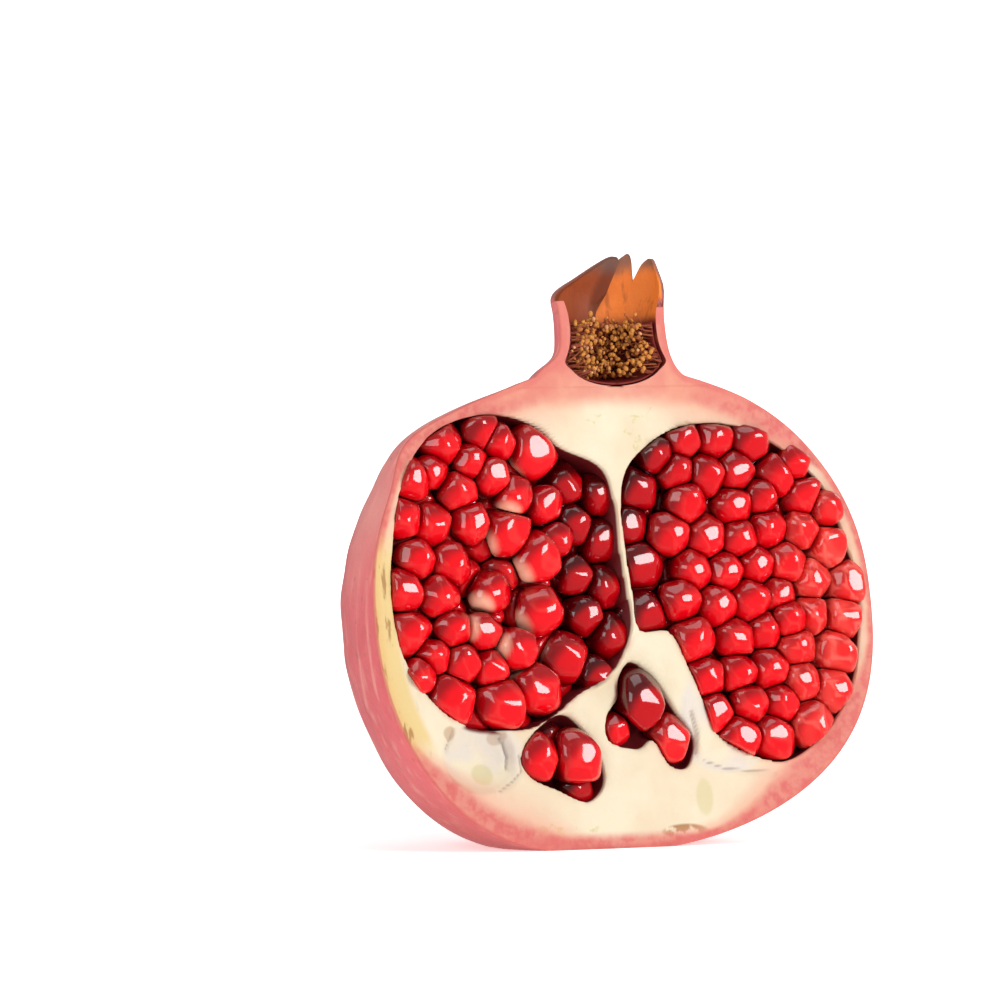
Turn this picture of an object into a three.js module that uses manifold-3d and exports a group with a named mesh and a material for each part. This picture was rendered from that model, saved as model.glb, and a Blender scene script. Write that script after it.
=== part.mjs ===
// A pomegranate cut in half from crown to base, standing on its flattened base with the cut face forward.
// Millimetres, +Z up. The cut face looks towards -Y and leans back a little; the base's flat spot lies at Z = 0.
//
// The fruit's own frame: u across the cut face, v up the fruit's axis, depth straight back from the cut face.
// Its origin is the middle of the fruit, in the plane of the cut.
import * as THREE from "three";
import { mergeVertices } from "three/addons/utils/BufferGeometryUtils.js";
import Module from "manifold-3d";

// Driving dimensions of the body
const BODY_RADIUS = 50.2;
const TOP_HEIGHT = 42.0;
const BASE_HEIGHT = 42.3;
const BODY_ROUNDNESS = 2.3;
const RIB_COUNT = 6;
const RIB_SHARE = 0.012;
const SHOULDER_FLARE = 0.125;
const COLLAR_FLARE = 0.19;
const BASE_SHIFT = -6.0;
const CROWN_SHIFT = 1.8;
const LEAN_DEG = 9;
const FOOT_TRIM = 2.0;
const FOOT_BEHIND = 18;

// Driving dimensions of the crown
const NECK_RADIUS = 10.7;
const NECK_FLARE = 4.5;
const NECK_FLARE_START = 41;
const NECK_FLARE_FADE = 2.5;
const CROWN_START = 45;
const RIM_HEIGHT = 55.2;
const TIP_HEIGHT = 63.0;
const SEPAL_BULGE = 0.8;
const BEND_START = 52.5;
const BEND_RIGHT = 8.6;
const BEND_FORWARD = 3.8;
const BEND_MIDDLE = 0.19;
const BEND_FLAP = 0.38;
// Sepals from right to left: turn and height of the notch on the right, of the tip and of the notch on the left,
// then how full the lobe is on each side, as the two powers of its curve
const SEPALS = [
  { right: [0, 54], tip: [17, 62.8], left: [46.5, 59.2], rightFull: [2, 0.7], leftFull: [1.9, 1] },
  { right: [46.5, 59.2], tip: [64, 64], left: [84.5, 54.3], rightFull: [1.9, 1], leftFull: [1, 0.3] },
  { right: [84.5, 54.3], tip: [92, 63.5], left: [150, 55.3], rightFull: [3, 1], leftFull: [1, 1] },
];
const CROWN_TURNS = [
  0, 2, 4, 8, 12, 17, 22, 28, 34, 40, 46.5, 50, 54, 59, 64, 68, 73, 78, 82, 84.5, 86, 88.5, 92, 98, 105, 112, 120, 130,
  140, 150, 165, 180, 200, 220, 240, 260, 280, 300, 320, 340, 356,
];
const WALL_THICK = 2.0;
const TIP_THICK = 1.0;
const NECK_FLATTEN = 0.15;
const CUP_FLOOR = 40.0;
const CUP_ROUNDING = 4.6;

// Driving dimensions of the chambers and of the arils in them
const SEAM_GAP = 0.35;
const CHAMBER_DEPTH = 31;
const CHAMBER_TAPER = 2.2;
const ARIL_LONG = 5.3;
const ARIL_WIDE = 4.4;
const FACETS = 3;
const EDGE_SHARPNESS = 9;
const CORE_SINK = 2.8;
const SEPTUM_LEAN = 0.5;
const SEPTUM_LEAN_DEPTH = 10;

// Driving dimensions of the dried stamens
const LINING_THICK = 0.9;
const FILAMENT_ROWS = 5;
const FILAMENTS_IN_ROW = 6;
const FILAMENT_THICK = 0.42;
const ANTHER_SIZE = 0.8;

const wasm = await Module();
wasm.setup();

const radians = THREE.MathUtils.degToRad;
const clamp = THREE.MathUtils.clamp;
const smoothstep = (x, low, high) => THREE.MathUtils.smoothstep(x, low, high);
const mix = THREE.MathUtils.lerp;

// A draw of numbers from 0 to 1 that is the same each time for one seed.
function seededDraw(seed) {
  let state = seed;
  return () => {
    state = (state * 1664525 + 1013904223) % 4294967296;
    return state / 4294967296;
  };
}

// Closed solid from rings of points: each ring joins the next, and each end closes on its own middle point.
function ringSolid(rings, firstMiddle, lastMiddle) {
  const count = rings[0].length;
  const points = [...rings.flat(), firstMiddle, lastMiddle];
  const first = points.length - 2;
  const last = points.length - 1;
  const faces = [];
  for (let i = 0; i + 1 < rings.length; i++) {
    for (let j = 0; j < count; j++) {
      const a = i * count + j;
      const b = i * count + ((j + 1) % count);
      faces.push(a, b, b + count, a, b + count, a + count);
    }
  }
  const top = (rings.length - 1) * count;
  for (let j = 0; j < count; j++) {
    const k = (j + 1) % count;
    faces.push(first, k, j, last, top + j, top + k);
  }
  return solidFrom(points, faces);
}

// A manifold solid from points and faces, turned to face outwards.
function solidFrom(points, faces) {
  const vertProperties = new Float32Array(points.flat());
  const triVerts = new Uint32Array(faces);
  const made = new wasm.Manifold(new wasm.Mesh({ numProp: 3, vertProperties, triVerts }));
  if (made.volume() > 0) return made;
  for (let i = 0; i < triVerts.length; i += 3) {
    [triVerts[i + 1], triVerts[i + 2]] = [triVerts[i + 2], triVerts[i + 1]];
  }
  return new wasm.Manifold(new wasm.Mesh({ numProp: 3, vertProperties, triVerts }));
}

// A manifold solid from a three.js geometry.
function solidOf(geometry) {
  const bare = geometry.clone();
  bare.deleteAttribute("normal");
  bare.deleteAttribute("uv");
  const merged = mergeVertices(bare, 1e-5);
  return new wasm.Manifold(
    new wasm.Mesh({
      numProp: 3,
      vertProperties: merged.attributes.position.array,
      triVerts: new Uint32Array(merged.index.array),
    }),
  );
}

// A box between two corners, as a solid.
function boxSolid(low, high) {
  const size = low.map((x, i) => high[i] - x);
  const middle = low.map((x, i) => (high[i] + x) / 2);
  return solidOf(new THREE.BoxGeometry(...size).translate(...middle));
}

const union = (solids) => solids.reduce((all, next) => all.add(next));

// A three.js geometry from a manifold solid.
function geometryOf(solid) {
  const mesh = solid.getMesh();
  const count = mesh.vertProperties.length / mesh.numProp;
  const positions = new Float32Array(count * 3);
  for (let i = 0; i < count; i++) {
    positions.set(mesh.vertProperties.subarray(i * mesh.numProp, i * mesh.numProp + 3), i * 3);
  }
  const geometry = new THREE.BufferGeometry();
  geometry.setAttribute("position", new THREE.BufferAttribute(positions, 3));
  geometry.setIndex(new THREE.BufferAttribute(new Uint32Array(mesh.triVerts), 1));
  geometry.computeVertexNormals();
  return geometry;
}

// Radius of the neck at height v, flaring out where it joins the shoulder.
function neckRadius(v) {
  return NECK_RADIUS + NECK_FLARE * Math.exp(-Math.max(v - NECK_FLARE_START, 0) / NECK_FLARE_FADE);
}

// Radius of the body and the neck together at height v: a super-ellipse blended into the neck.
function huskRadius(v) {
  const height = v > 0 ? TOP_HEIGHT : BASE_HEIGHT;
  const rise = Math.min(Math.abs(v) / height, 1);
  const body = BODY_RADIUS * Math.pow(1 - Math.pow(rise, BODY_ROUNDNESS), 1 / BODY_ROUNDNESS);
  if (v < 0) return body;
  const neck = neckRadius(v) * smoothstep(v, 30, 38);
  return Math.pow(Math.pow(body, 5) + Math.pow(neck, 5), 0.2);
}

// How far the fruit's middle line stands to the side at height v.
function middleLine(v) {
  return v < 0 ? BASE_SHIFT * Math.pow(-v / 40, 4) : CROWN_SHIFT * smoothstep(v, 25, 45);
}

// The point at angle turn and height v on a ring of that radius, 0 degrees to the right and 90 straight back.
// Above the shoulder the rings are a little flatter from front to back.
function ringPoint(turn, v, radius) {
  const angle = radians(turn);
  const deep = 1 - NECK_FLATTEN * smoothstep(v, 36, 46);
  return [middleLine(v) + radius * Math.cos(angle), radius * deep * Math.sin(angle), v];
}

// Soft lobes round the body, fading towards the base and the shoulder. On the left the shoulder is drawn out at the
// cut, and the collar round the neck is fuller.
function ribs(turn, v) {
  const fade = 1 - Math.pow(clamp(Math.abs(v) / TOP_HEIGHT, 0, 1), 2);
  const near = 1 - smoothstep(Math.abs(turn - 180), 0, 30);
  const flare = SHOULDER_FLARE * near * Math.exp(-Math.pow((v - 33) / 7, 2));
  const side = 1 - smoothstep(Math.abs(turn - 180), 35, 90);
  const collar = COLLAR_FLARE * side * Math.exp(-Math.pow((v - 42.8) / 2.2, 2));
  return (1 + flare + collar) * (1 + RIB_SHARE * fade * Math.cos(radians(RIB_COUNT * turn + 35)));
}

// The whole body up to the neck, before it is cut.
function bodySolid() {
  const columns = 48;
  const rows = 13;
  const rings = [];
  for (let i = 0; i <= rows; i++) {
    const v = -BASE_HEIGHT * Math.cos((Math.PI / 2) * (i / rows));
    rings.push(v);
  }
  for (let i = 1; i <= rows - 2; i++) {
    rings.push(TOP_HEIGHT * Math.sin((Math.PI / 2) * (i / rows)));
  }
  rings.push(41.2, 42.5, 44.5, 47.5);
  const around = (v) =>
    Array.from({ length: columns }, (_, j) => {
      const turn = (360 * j) / columns;
      return ringPoint(turn, v, huskRadius(v) * ribs(turn, v));
    });
  const used = rings.slice(1);
  return ringSolid(used.map(around), [BASE_SHIFT, 0, -BASE_HEIGHT], [CROWN_SHIFT, 0, 47.5]);
}

// Height of the crown's edge at the angle turn: a pointed lobe for each sepal, and a level rim where it is cut away.
function crownEdge(turn) {
  const at = turn > 200 ? turn - 360 : turn;
  const sepal = SEPALS.find((one) => at >= one.right[0] && at <= one.left[0]);
  if (!sepal) return RIM_HEIGHT;
  const [notch, full] = at < sepal.tip[0] ? [sepal.right, sepal.rightFull] : [sepal.left, sepal.leftFull];
  const share = (at - sepal.tip[0]) / (notch[0] - sepal.tip[0]);
  return notch[1] + (sepal.tip[1] - notch[1]) * Math.pow(1 - Math.pow(share, full[0]), full[1]);
}

// Outer radius of the crown at height v, with the sepals' bases standing out a little.
function crownRadius(v) {
  return neckRadius(v) + SEPAL_BULGE * Math.exp(-Math.pow((v - 57.5) / 3, 2));
}

// Share of the bend at the angle turn: the sepals lean to the right as they rise, the left one the most.
function bendShare(turn) {
  const slit = SEPALS[2].right[0];
  const middle = BEND_MIDDLE * smoothstep(turn, 30, 58);
  const flap = mix(middle, BEND_FLAP, smoothstep(turn, slit - 9.5, slit));
  return flap * (1 - smoothstep(turn, 118, 148));
}

// A point of the crown's wall, bent to the right and forward above the cup.
function crownPoint(turn, v, radius) {
  const rise = Math.pow(clamp((v - BEND_START) / (TIP_HEIGHT - BEND_START), 0, 1.25), 1.5);
  const [x, y, z] = ringPoint(turn, v, radius);
  return [x + BEND_RIGHT * bendShare(turn) * rise, y - BEND_FORWARD * Math.sin(radians(turn)) * rise, z];
}

// Wall of the crown, thinning towards the sepals' tips.
function crownWall(v) {
  return mix(WALL_THICK, TIP_THICK, smoothstep(v, 50, 61));
}

// Inner radius of the crown's cup, with a rounded floor.
function cupRadius(v) {
  const inner = crownRadius(v) - crownWall(v) + 0.6 * Math.exp(-Math.pow((v - 44) / 2.5, 2));
  const height = clamp((v - CUP_FLOOR) / CUP_ROUNDING, 0, 1);
  const limit = v < 44.5 ? Math.min(inner, NECK_RADIUS - WALL_THICK + 0.9) : inner;
  return Math.max(limit * Math.sqrt(1 - Math.pow(1 - height, 2)), 0.05);
}

// The crown's outer form up to its pointed edge, filled.
function crownSolid() {
  const rows = 7;
  const rings = Array.from({ length: rows + 1 }, (_, i) =>
    CROWN_TURNS.map((turn) => {
      const v = mix(CROWN_START, crownEdge(turn), i / rows);
      return crownPoint(turn, v, crownRadius(v));
    }),
  );
  return ringSolid(rings, [CROWN_SHIFT, 0, CROWN_START], [CROWN_SHIFT, 0, RIM_HEIGHT + 1]);
}

// The cup inside the crown, from floorRise above its floor to topHeight, with its wall drawn in by inset.
function cupSolid(inset, topHeight, floorRise, columns) {
  const heights = [0.35, 1.3, 3, 5, 9, 13, 16, 18, 20, 22].map((h) => CUP_FLOOR + h);
  const used = heights.filter((v) => v < topHeight - 0.5).concat(topHeight);
  const rings = used.map((v) =>
    Array.from({ length: columns }, (_, j) => {
      const height = Math.max(v, CUP_FLOOR + floorRise + (v - CUP_FLOOR) * 0.92);
      const radius = Math.max(cupRadius(v) - inset, 0.04);
      return crownPoint((360 * j) / columns, v === topHeight ? v : height, radius);
    }),
  );
  return ringSolid(rings, [CROWN_SHIFT, 0, CUP_FLOOR + floorRise], [CROWN_SHIFT + 4, 0, topHeight]);
}

// The chambers of the cut face: outlines in u and v, as points that a smooth closed curve passes through.
// recess says how far behind the cut plane the arils' front stands at u.
// An aril is [u, v, size, lean, heading]: its size against the usual one, how far it leans from pointing straight
// out (0) to lying in the face (1) and past it, and the way it leans in degrees, 0 to the right and 90 up.
const CHAMBERS = {
  left: {
    seed: 11,
    outline: [
      [-46.8, 2.0], [-45.9, 12.5], [-43.8, 21.5], [-39.2, 29.6], [-33.0, 33.8], [-24.6, 35.4], [-16.5, 33.8],
      [-10.6, 29.4], [-2.6, 25.8], [-0.35, 19.5], [-0.05, 11.5], [0.7, 4.0], [1.2, -3.0], [-3.4, -10.4],
      [-10.5, -14.2], [-17.8, -18.8], [-25.6, -20.2], [-36.6, -17.8], [-44.6, -8.6],
    ],
    middle: [-22, 8],
    depth: CHAMBER_DEPTH,
    recess: (u) => -1.6 + 2.6 * smoothstep(u, -20, -7),
    arils: [
      [-33.8, 30.5, 1.1, 0, 0], [-25.3, 32.3, 1.02, 0.7, 90], [-15.6, 29.0, 1.28, 1, 42], [-40.4, 24.4, 0.98, 0.1, 180],
      [-36.2, 25.6, 0.8, 0, 0], [-31.0, 22.2, 1.0, 0, 0], [-20.2, 21.2, 0.9, 1.3, 60], [-24.6, 24.6, 0.85, 0.6, 60],
      [-42.6, 17.6, 0.95, 0.1, 180], [-36.8, 16.5, 1.1, 0, 0], [-21.6, 15.2, 1.2, 1.1, 25], [-8.6, 23.2, 1.1, 0.3, -60],
      [-1.2, 21.6, 1.0, 0.2, 180], [-29.3, 16.6, 0.95, 0.2, 0], [-40.4, 10.4, 0.98, 0, 0], [-33.7, 9.5, 1.02, 0, 0],
      [-15.6, 10.4, 1.18, 1.1, 35], [-7.4, 16.2, 0.95, 0.3, 0], [-1.8, 13.2, 1.05, 0.2, 180], [-26.0, 4.3, 0.95, 1.3, 40],
      [-36.7, 3.7, 1.0, 0, 0], [-43.6, 5.0, 1.0, 0.1, 180], [-16.2, 1.0, 1.18, 1.1, 30], [-8.2, 7.2, 0.95, 0.3, 0],
      [-1.8, 5.0, 1.0, 0.2, 180], [-42.8, -2.5, 1.15, 0, 0], [-34.6, -2.0, 0.9, 0, 0], [-28.4, -2.6, 0.9, 1.3, -10],
      [-6.6, 0.2, 0.95, 0.3, 0], [-1.0, -3.6, 1.12, 0.3, 200], [-22.0, -5.9, 0.96, 1.2, -10], [-11.4, -7.3, 1.2, 1.0, -25],
      [-38.6, -6.7, 0.85, 0, 0], [-33.1, -7.9, 0.92, 0.1, 0], [-27.6, -8.9, 0.85, 0.4, -30], [-35.6, -13.6, 1.22, 0.8, -60],
      [-26.0, -14.9, 1.2, 0.7, -60], [-18.6, -12.7, 1.15, 0.9, -40], [-42.0, -10.1, 0.8, 0.5, 200], [-5.4, -10.4, 0.85, 0.6, -60],
      [-22.6, 30.4, 0.8, 0.4, 80], [-13.4, 19.4, 0.9, 0.5, 60], [-28.4, 27.2, 0.85, 0.2, 90], [-11.6, 13.4, 0.8, 0.8, 20],
    ],
  },
  right: {
    seed: 23,
    outline: [
      [0.8, 19.5], [2.6, 25.4], [7.2, 29.6], [13.0, 32.4], [19.5, 33.3], [27.0, 32.4], [33.4, 29.4], [39.0, 25.4],
      [43.4, 20.4], [46.2, 12.6], [48.5, 4.5], [48.0, -4.0], [46.2, -12.5], [42.2, -19.2], [36.6, -24.4],
      [30.0, -27.2], [22.5, -25.4], [16.4, -21.6], [14.2, -15.6], [11.8, -9.6], [8.6, -3.6], [2.6, -3.2],
      [1.7, 4.0], [0.95, 11.5],
    ],
    middle: [26, 4],
    depth: CHAMBER_DEPTH,
    recess: (u) => 1.4 - 3.4 * smoothstep(u, 2, 13),
    arils: [
      [15.0, 30.4, 0.9, 0.2, 90], [9.3, 28.0, 0.85, 0.3, 120], [21.6, 30.2, 1.05, 0.1, 90], [28.6, 30.0, 1.0, 0.2, 60],
      [13.2, 25.0, 0.95, 0, 0], [6.6, 22.4, 1.15, 0.3, 200], [19.0, 24.2, 0.98, 0, 0], [25.0, 24.8, 0.95, 0.2, 0],
      [33.6, 23.6, 1.05, 0.3, 80], [38.8, 19.9, 1.1, 0.4, 40], [14.6, 19.4, 0.95, 0, 0], [24.4, 18.6, 1.05, 0, 0],
      [30.4, 20.0, 0.85, 0.1, 0], [4.9, 15.8, 1.1, 0.3, 180], [11.2, 14.0, 1.05, 0.1, 0], [37.4, 26.0, 0.85, 0.3, 40],
      [18.4, 13.2, 1.05, 0, 0], [31.2, 14.3, 0.98, 0, 0], [37.6, 13.9, 0.92, 0, 0], [25.0, 12.8, 0.9, 0, 0],
      [6.2, 8.8, 1.2, 0.5, 160], [15.2, 7.3, 1.0, 0, 0], [21.8, 6.9, 0.95, 0, 0], [28.2, 8.0, 0.9, 0, 0],
      [34.1, 8.3, 1.05, 0, 0], [43.0, 11.2, 1.1, 0.3, 30], [47.2, 4.2, 1.1, 0.6, 0], [6.0, -0.1, 1.1, 0.9, 180],
      [19.6, 0.9, 1.05, 0, 0], [26.2, 1.7, 1.05, 0, 0], [32.4, 2.4, 0.95, 0, 0], [39.4, 5.0, 1.0, 0, 0],
      [12.2, 2.0, 1.0, 0.2, 200], [14.2, -5.0, 1.15, 0.2, 220], [22.4, -5.0, 1.05, 0, 0], [29.1, -3.6, 0.98, 0, 0],
      [38.6, -1.2, 0.95, 0, 0], [45.6, -1.8, 1.05, 0.2, 0], [34.9, -6.9, 1.0, 0, 0], [43.4, 17.6, 0.85, 0.3, 30],
      [16.2, -11.7, 1.05, 0.4, 210], [22.5, -11.2, 1.0, 0, 0], [29.4, -10.6, 1.1, 0, 0], [43.0, -8.0, 1.15, 0.2, 0],
      [35.4, -12.9, 0.95, 0, 0], [33.6, -1.9, 0.85, 0, 0], [17.2, -17.9, 0.95, 0.5, 240], [24.0, -16.6, 0.9, 0.2, -90],
      [21.6, -22.4, 1.05, 0.5, -90], [29.0, -22.2, 1.15, 0.5, -80], [31.0, -16.6, 0.95, 0, 0], [41.6, -14.6, 1.1, 0.2, -30],
      [36.8, -20.2, 1.1, 0.4, -50],
    ],
  },
};

// The two small chambers low in the face, with the few arils that each holds.
// An aril here has its middle (u, v, depth), the way its outer tip points, and its size.
const SMALL_CHAMBERS = {
  lower_left: {
    seed: 5,
    outline: [
      [-23.4, -24.4], [-19.8, -20.2], [-14.6, -17.6], [-10.8, -20.0], [-7.4, -25.6], [-7.0, -30.2],
      [-10.6, -33.2], [-16.4, -31.0], [-22.0, -28.4],
    ],
    middle: [-14.8, -25.5],
    depth: 12,
    arils: [
      { at: [-12.2, -25.0, 1.9], tip: [0.45, -0.8, -0.35], size: 1.16 },
      { at: [-19.2, -24.6, 2.6], tip: [0.2, -0.9, -0.4], size: 0.98 },
      { at: [-11.4, -30.4, 4.6], tip: [0.6, -0.5, -0.5], size: 0.78 },
      { at: [-15.8, -21.6, 6.4], tip: [0.1, -0.5, -0.9], size: 0.95 },
    ],
  },
  lower_middle: {
    seed: 7,
    outline: [
      [0.4, -8.6], [4.6, -11.6], [8.6, -17.6], [12.0, -22.6], [10.4, -27.6], [6.6, -27.2], [3.6, -22.8],
      [0.4, -24.2], [-5.4, -22.6], [-5.6, -18.4], [-2.6, -15.0], [-2.2, -11.4],
    ],
    middle: [2.6, -17.6],
    depth: 11,
    arils: [
      { at: [1.9, -15.4, 2.3], tip: [0.12, -0.95, -0.3], size: 1.2 },
      { at: [-2.6, -20.2, 3.6], tip: [-0.3, -0.8, -0.5], size: 0.72 },
      { at: [7.4, -22.0, 2.6], tip: [0.25, -0.9, -0.35], size: 0.98 },
      { at: [4.6, -15.8, 6.2], tip: [0.4, -0.5, -0.75], size: 0.9 },
    ],
  },
};

// The empty dent low on the left, where the arils have dropped out under their membrane.
const DENT = { at: [-31.4, -24.6], across: 8.0, high: 6.4, deep: 3.4 };

// The closed curve through the outline's points, as a polygon of count corners.
function smoothOutline(outline, count) {
  const curve = new THREE.CatmullRomCurve3(
    outline.map(([u, v]) => new THREE.Vector3(u, v, 0)),
    true,
    "catmullrom",
    0.5,
  );
  return Array.from({ length: count }, (_, i) => curve.getPoint(i / count)).map((p) => [p.x, p.y]);
}

// The nearest point of a polygon to p, how far it is, and whether p is inside.
function nearestWall(polygon, [pu, pv]) {
  let best = { distance: Infinity, at: [0, 0] };
  let inside = false;
  polygon.forEach(([au, av], i) => {
    const [bu, bv] = polygon[(i + 1) % polygon.length];
    const along = ((pu - au) * (bu - au) + (pv - av) * (bv - av)) / ((bu - au) ** 2 + (bv - av) ** 2);
    const t = clamp(along, 0, 1);
    const at = [mix(au, bu, t), mix(av, bv, t)];
    const distance = Math.hypot(pu - at[0], pv - at[1]);
    if (distance < best.distance) best = { distance, at };
    if (av > pv !== bv > pv && pu < ((bu - au) * (pv - av)) / (bv - av) + au) inside = !inside;
  });
  return { ...best, inside };
}

// The arils of a large chamber: where each lies, the way its outer tip points, its size and its flat facets.
function packArils(chamber) {
  const polygon = smoothOutline(chamber.outline, 34);
  const draw = seededDraw(chamber.seed);
  return chamber.arils.map(([u, v, size, lean, heading]) => {
    const tilt = (lean * Math.PI) / 2;
    const way = radians(heading);
    const side = Math.sin(tilt);
    const tip = new THREE.Vector3(side * Math.cos(way), side * Math.sin(way), -Math.cos(tilt));
    const reach = size * Math.hypot(ARIL_LONG * Math.cos(tilt), ARIL_WIDE * side);
    const at = new THREE.Vector3(u, v, chamber.recess(u) + reach + 0.9 * (draw() - 0.5));
    return { at, tip, size, facets: facetPlanes(draw, size), polygon };
  });
}

// The arils of a small chamber, from its own list.
function listedArils(chamber) {
  const draw = seededDraw(chamber.seed);
  return chamber.arils.map((aril) => ({
    at: new THREE.Vector3(...aril.at),
    tip: new THREE.Vector3(...aril.tip).normalize(),
    size: aril.size,
    facets: facetPlanes(draw, aril.size),
    polygon: null,
  }));
}

// Flat facets pressed into an aril's front: a direction and a distance from its middle.
function facetPlanes(draw, size) {
  return Array.from({ length: FACETS }, () => {
    const normal = new THREE.Vector3(1.5 * (draw() - 0.5), 1.5 * (draw() - 0.5), -1).normalize();
    return { normal, distance: ARIL_WIDE * size * (0.9 + 0.12 * draw()) };
  });
}

// Flat sides pressed into an aril by its neighbours and by the chamber's wall.
function pressedPlanes(aril, arils) {
  const planes = [...aril.facets];
  arils.forEach((other) => {
    const away = new THREE.Vector3().subVectors(other.at, aril.at);
    const gap = away.length();
    if (other === aril || gap > 2.6 * ARIL_LONG) return;
    planes.push({ normal: away.normalize(), distance: (0.97 * gap * aril.size) / (aril.size + other.size) });
  });
  if (aril.polygon) {
    const wall = nearestWall(aril.polygon, [aril.at.x, aril.at.y]);
    const away = new THREE.Vector3(wall.at[0] - aril.at.x, wall.at[1] - aril.at.y, 0);
    planes.push({ normal: away.normalize(), distance: Math.max(wall.distance - SEAM_GAP, 1.6) });
  }
  return planes;
}

// How far an aril reaches from its middle in a direction: a drop, with every pressed plane blended in.
function arilReach(direction, aril, planes) {
  const along = direction.dot(aril.tip);
  const wide = ARIL_WIDE * aril.size * (1 + 0.13 * along);
  const long = ARIL_LONG * aril.size;
  let sum = Math.pow(Math.sqrt((along / long) ** 2 + (1 - along * along) / (wide * wide)), EDGE_SHARPNESS);
  planes.forEach(({ normal, distance }) => {
    sum += Math.pow(Math.max(direction.dot(normal), 0) / distance, EDGE_SHARPNESS);
  });
  return Math.pow(sum, -1 / EDGE_SHARPNESS);
}

// Corners and faces of a small ball of triangles, from which every aril is drawn out.
const ball = mergeVertices(
  (() => {
    const geometry = new THREE.IcosahedronGeometry(1, 1);
    geometry.deleteAttribute("normal");
    geometry.deleteAttribute("uv");
    return geometry;
  })(),
  1e-4,
);

// One aril as a solid. Depth is the second axis of the fruit's frame, so the parts of a vector change places.
function arilSolid(aril, arils) {
  const planes = pressedPlanes(aril, arils);
  const positions = ball.attributes.position;
  const points = Array.from({ length: positions.count }, (_, i) => {
    const direction = new THREE.Vector3().fromBufferAttribute(positions, i).normalize();
    const reach = arilReach(direction, aril, planes);
    const p = direction.multiplyScalar(reach).add(aril.at);
    return [p.x, p.z, p.y];
  });
  return solidFrom(points, [...ball.index.array]);
}

// How far a large chamber's wall has leaned to the right at that depth, next to the partition between the two.
function septumShift(chamber, u, depth) {
  if (!chamber.recess) return 0;
  const near = 1 - smoothstep(Math.abs(u - 1.5), 4, 26);
  return SEPTUM_LEAN * near * clamp(depth, 0, SEPTUM_LEAN_DEPTH);
}

// A chamber's hollow, drawn in by inset: its outline carried back from the cut face, closing in as it goes.
// In front of the cut face a drawn-in hollow flares, so that what fills it can lean over the edge.
function chamberSolid(chamber, inset, corners) {
  const polygon = smoothOutline(chamber.outline, corners);
  const [mu, mv] = chamber.middle;
  const ring = (depth, share, grow) =>
    polygon.map(([u, v]) => {
      const away = Math.hypot(u - mu, v - mv);
      const drawn = (away * share - inset + grow) / away;
      return [mu + (u - mu) * drawn + septumShift(chamber, u, depth), depth, mv + (v - mv) * drawn];
    });
  const flare = inset > 0 ? 2.0 : 0;
  const deep = chamber.depth - inset;
  const rings = [ring(-9, 1, flare), ring(-0.9, 1, flare), ring(0, 1, 0)];
  [0.3, 0.6, 0.85].forEach((t) => {
    rings.push(ring(deep * t, Math.pow(1 - Math.pow(t, CHAMBER_TAPER), 1 / CHAMBER_TAPER), 0));
  });
  return ringSolid(rings, [mu, -9, mv], [mu, deep, mv]);
}

// The deeper arils and the tissue that hold a cluster together, behind the front ones.
function coreSolid(chamber, corners, sink) {
  const polygon = smoothOutline(chamber.outline, corners);
  const [mu, mv] = chamber.middle;
  const recess = chamber.recess ?? (() => 1.6);
  const ring = (share, depthAt) =>
    polygon.map(([u, v]) => {
      const at = [mu + (u - mu) * share, mv + (v - mv) * share];
      const depth = depthAt(...at);
      return [at[0] + septumShift(chamber, u, depth), depth, at[1]];
    });
  const front = (u, v) => recess(u, v) + sink;
  const back = chamber.depth - 1;
  const rings = [ring(0.3, front), ring(0.6, front), ring(0.86, front), ring(0.985, (u, v) => front(u, v) + 1.2)];
  rings.push(ring(0.985, () => back * 0.45), ring(0.8, () => back * 0.8));
  return ringSolid(rings, [mu, front(mu, mv), mv], [mu, back, mv]);
}

// The arils of one chamber, fused with the core behind them and kept a gap clear of the chamber's wall.
function clusterSolid(chamber, arils, corners, sink, gap) {
  const front = union(arils.map((aril) => arilSolid(aril, arils)));
  const whole = front.add(coreSolid(chamber, corners, sink));
  return largestPiece(whole.intersect(chamberSolid(chamber, gap, corners)));
}

// The one body that counts where a cut leaves scraps.
function largestPiece(solid) {
  return solid.decompose().reduce((best, next) => (next.volume() > best.volume() ? next : best));
}

// The shallow dent of the empty chamber, as a flattened ball that is taken away.
function dentSolid() {
  const geometry = new THREE.SphereGeometry(1, 16, 10).scale(DENT.across, DENT.deep, DENT.high);
  return solidOf(geometry.translate(DENT.at[0], 0, DENT.at[1]));
}

// The husk: skin, pith, partitions and crown in one piece, hollowed by the chambers.
function huskSolid(front, floor) {
  const cup = cupSolid(0, CUP_FLOOR + 27, 0, 35);
  let husk = bodySolid().add(crownSolid()).subtract(cup);
  husk = husk.subtract(chamberSolid(CHAMBERS.left, 0, 34)).subtract(chamberSolid(CHAMBERS.right, 0, 34));
  Object.values(SMALL_CHAMBERS).forEach((chamber) => {
    husk = husk.subtract(chamberSolid(chamber, 0, 20));
  });
  return largestPiece(husk.subtract(dentSolid()).subtract(front).subtract(floor));
}

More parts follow.
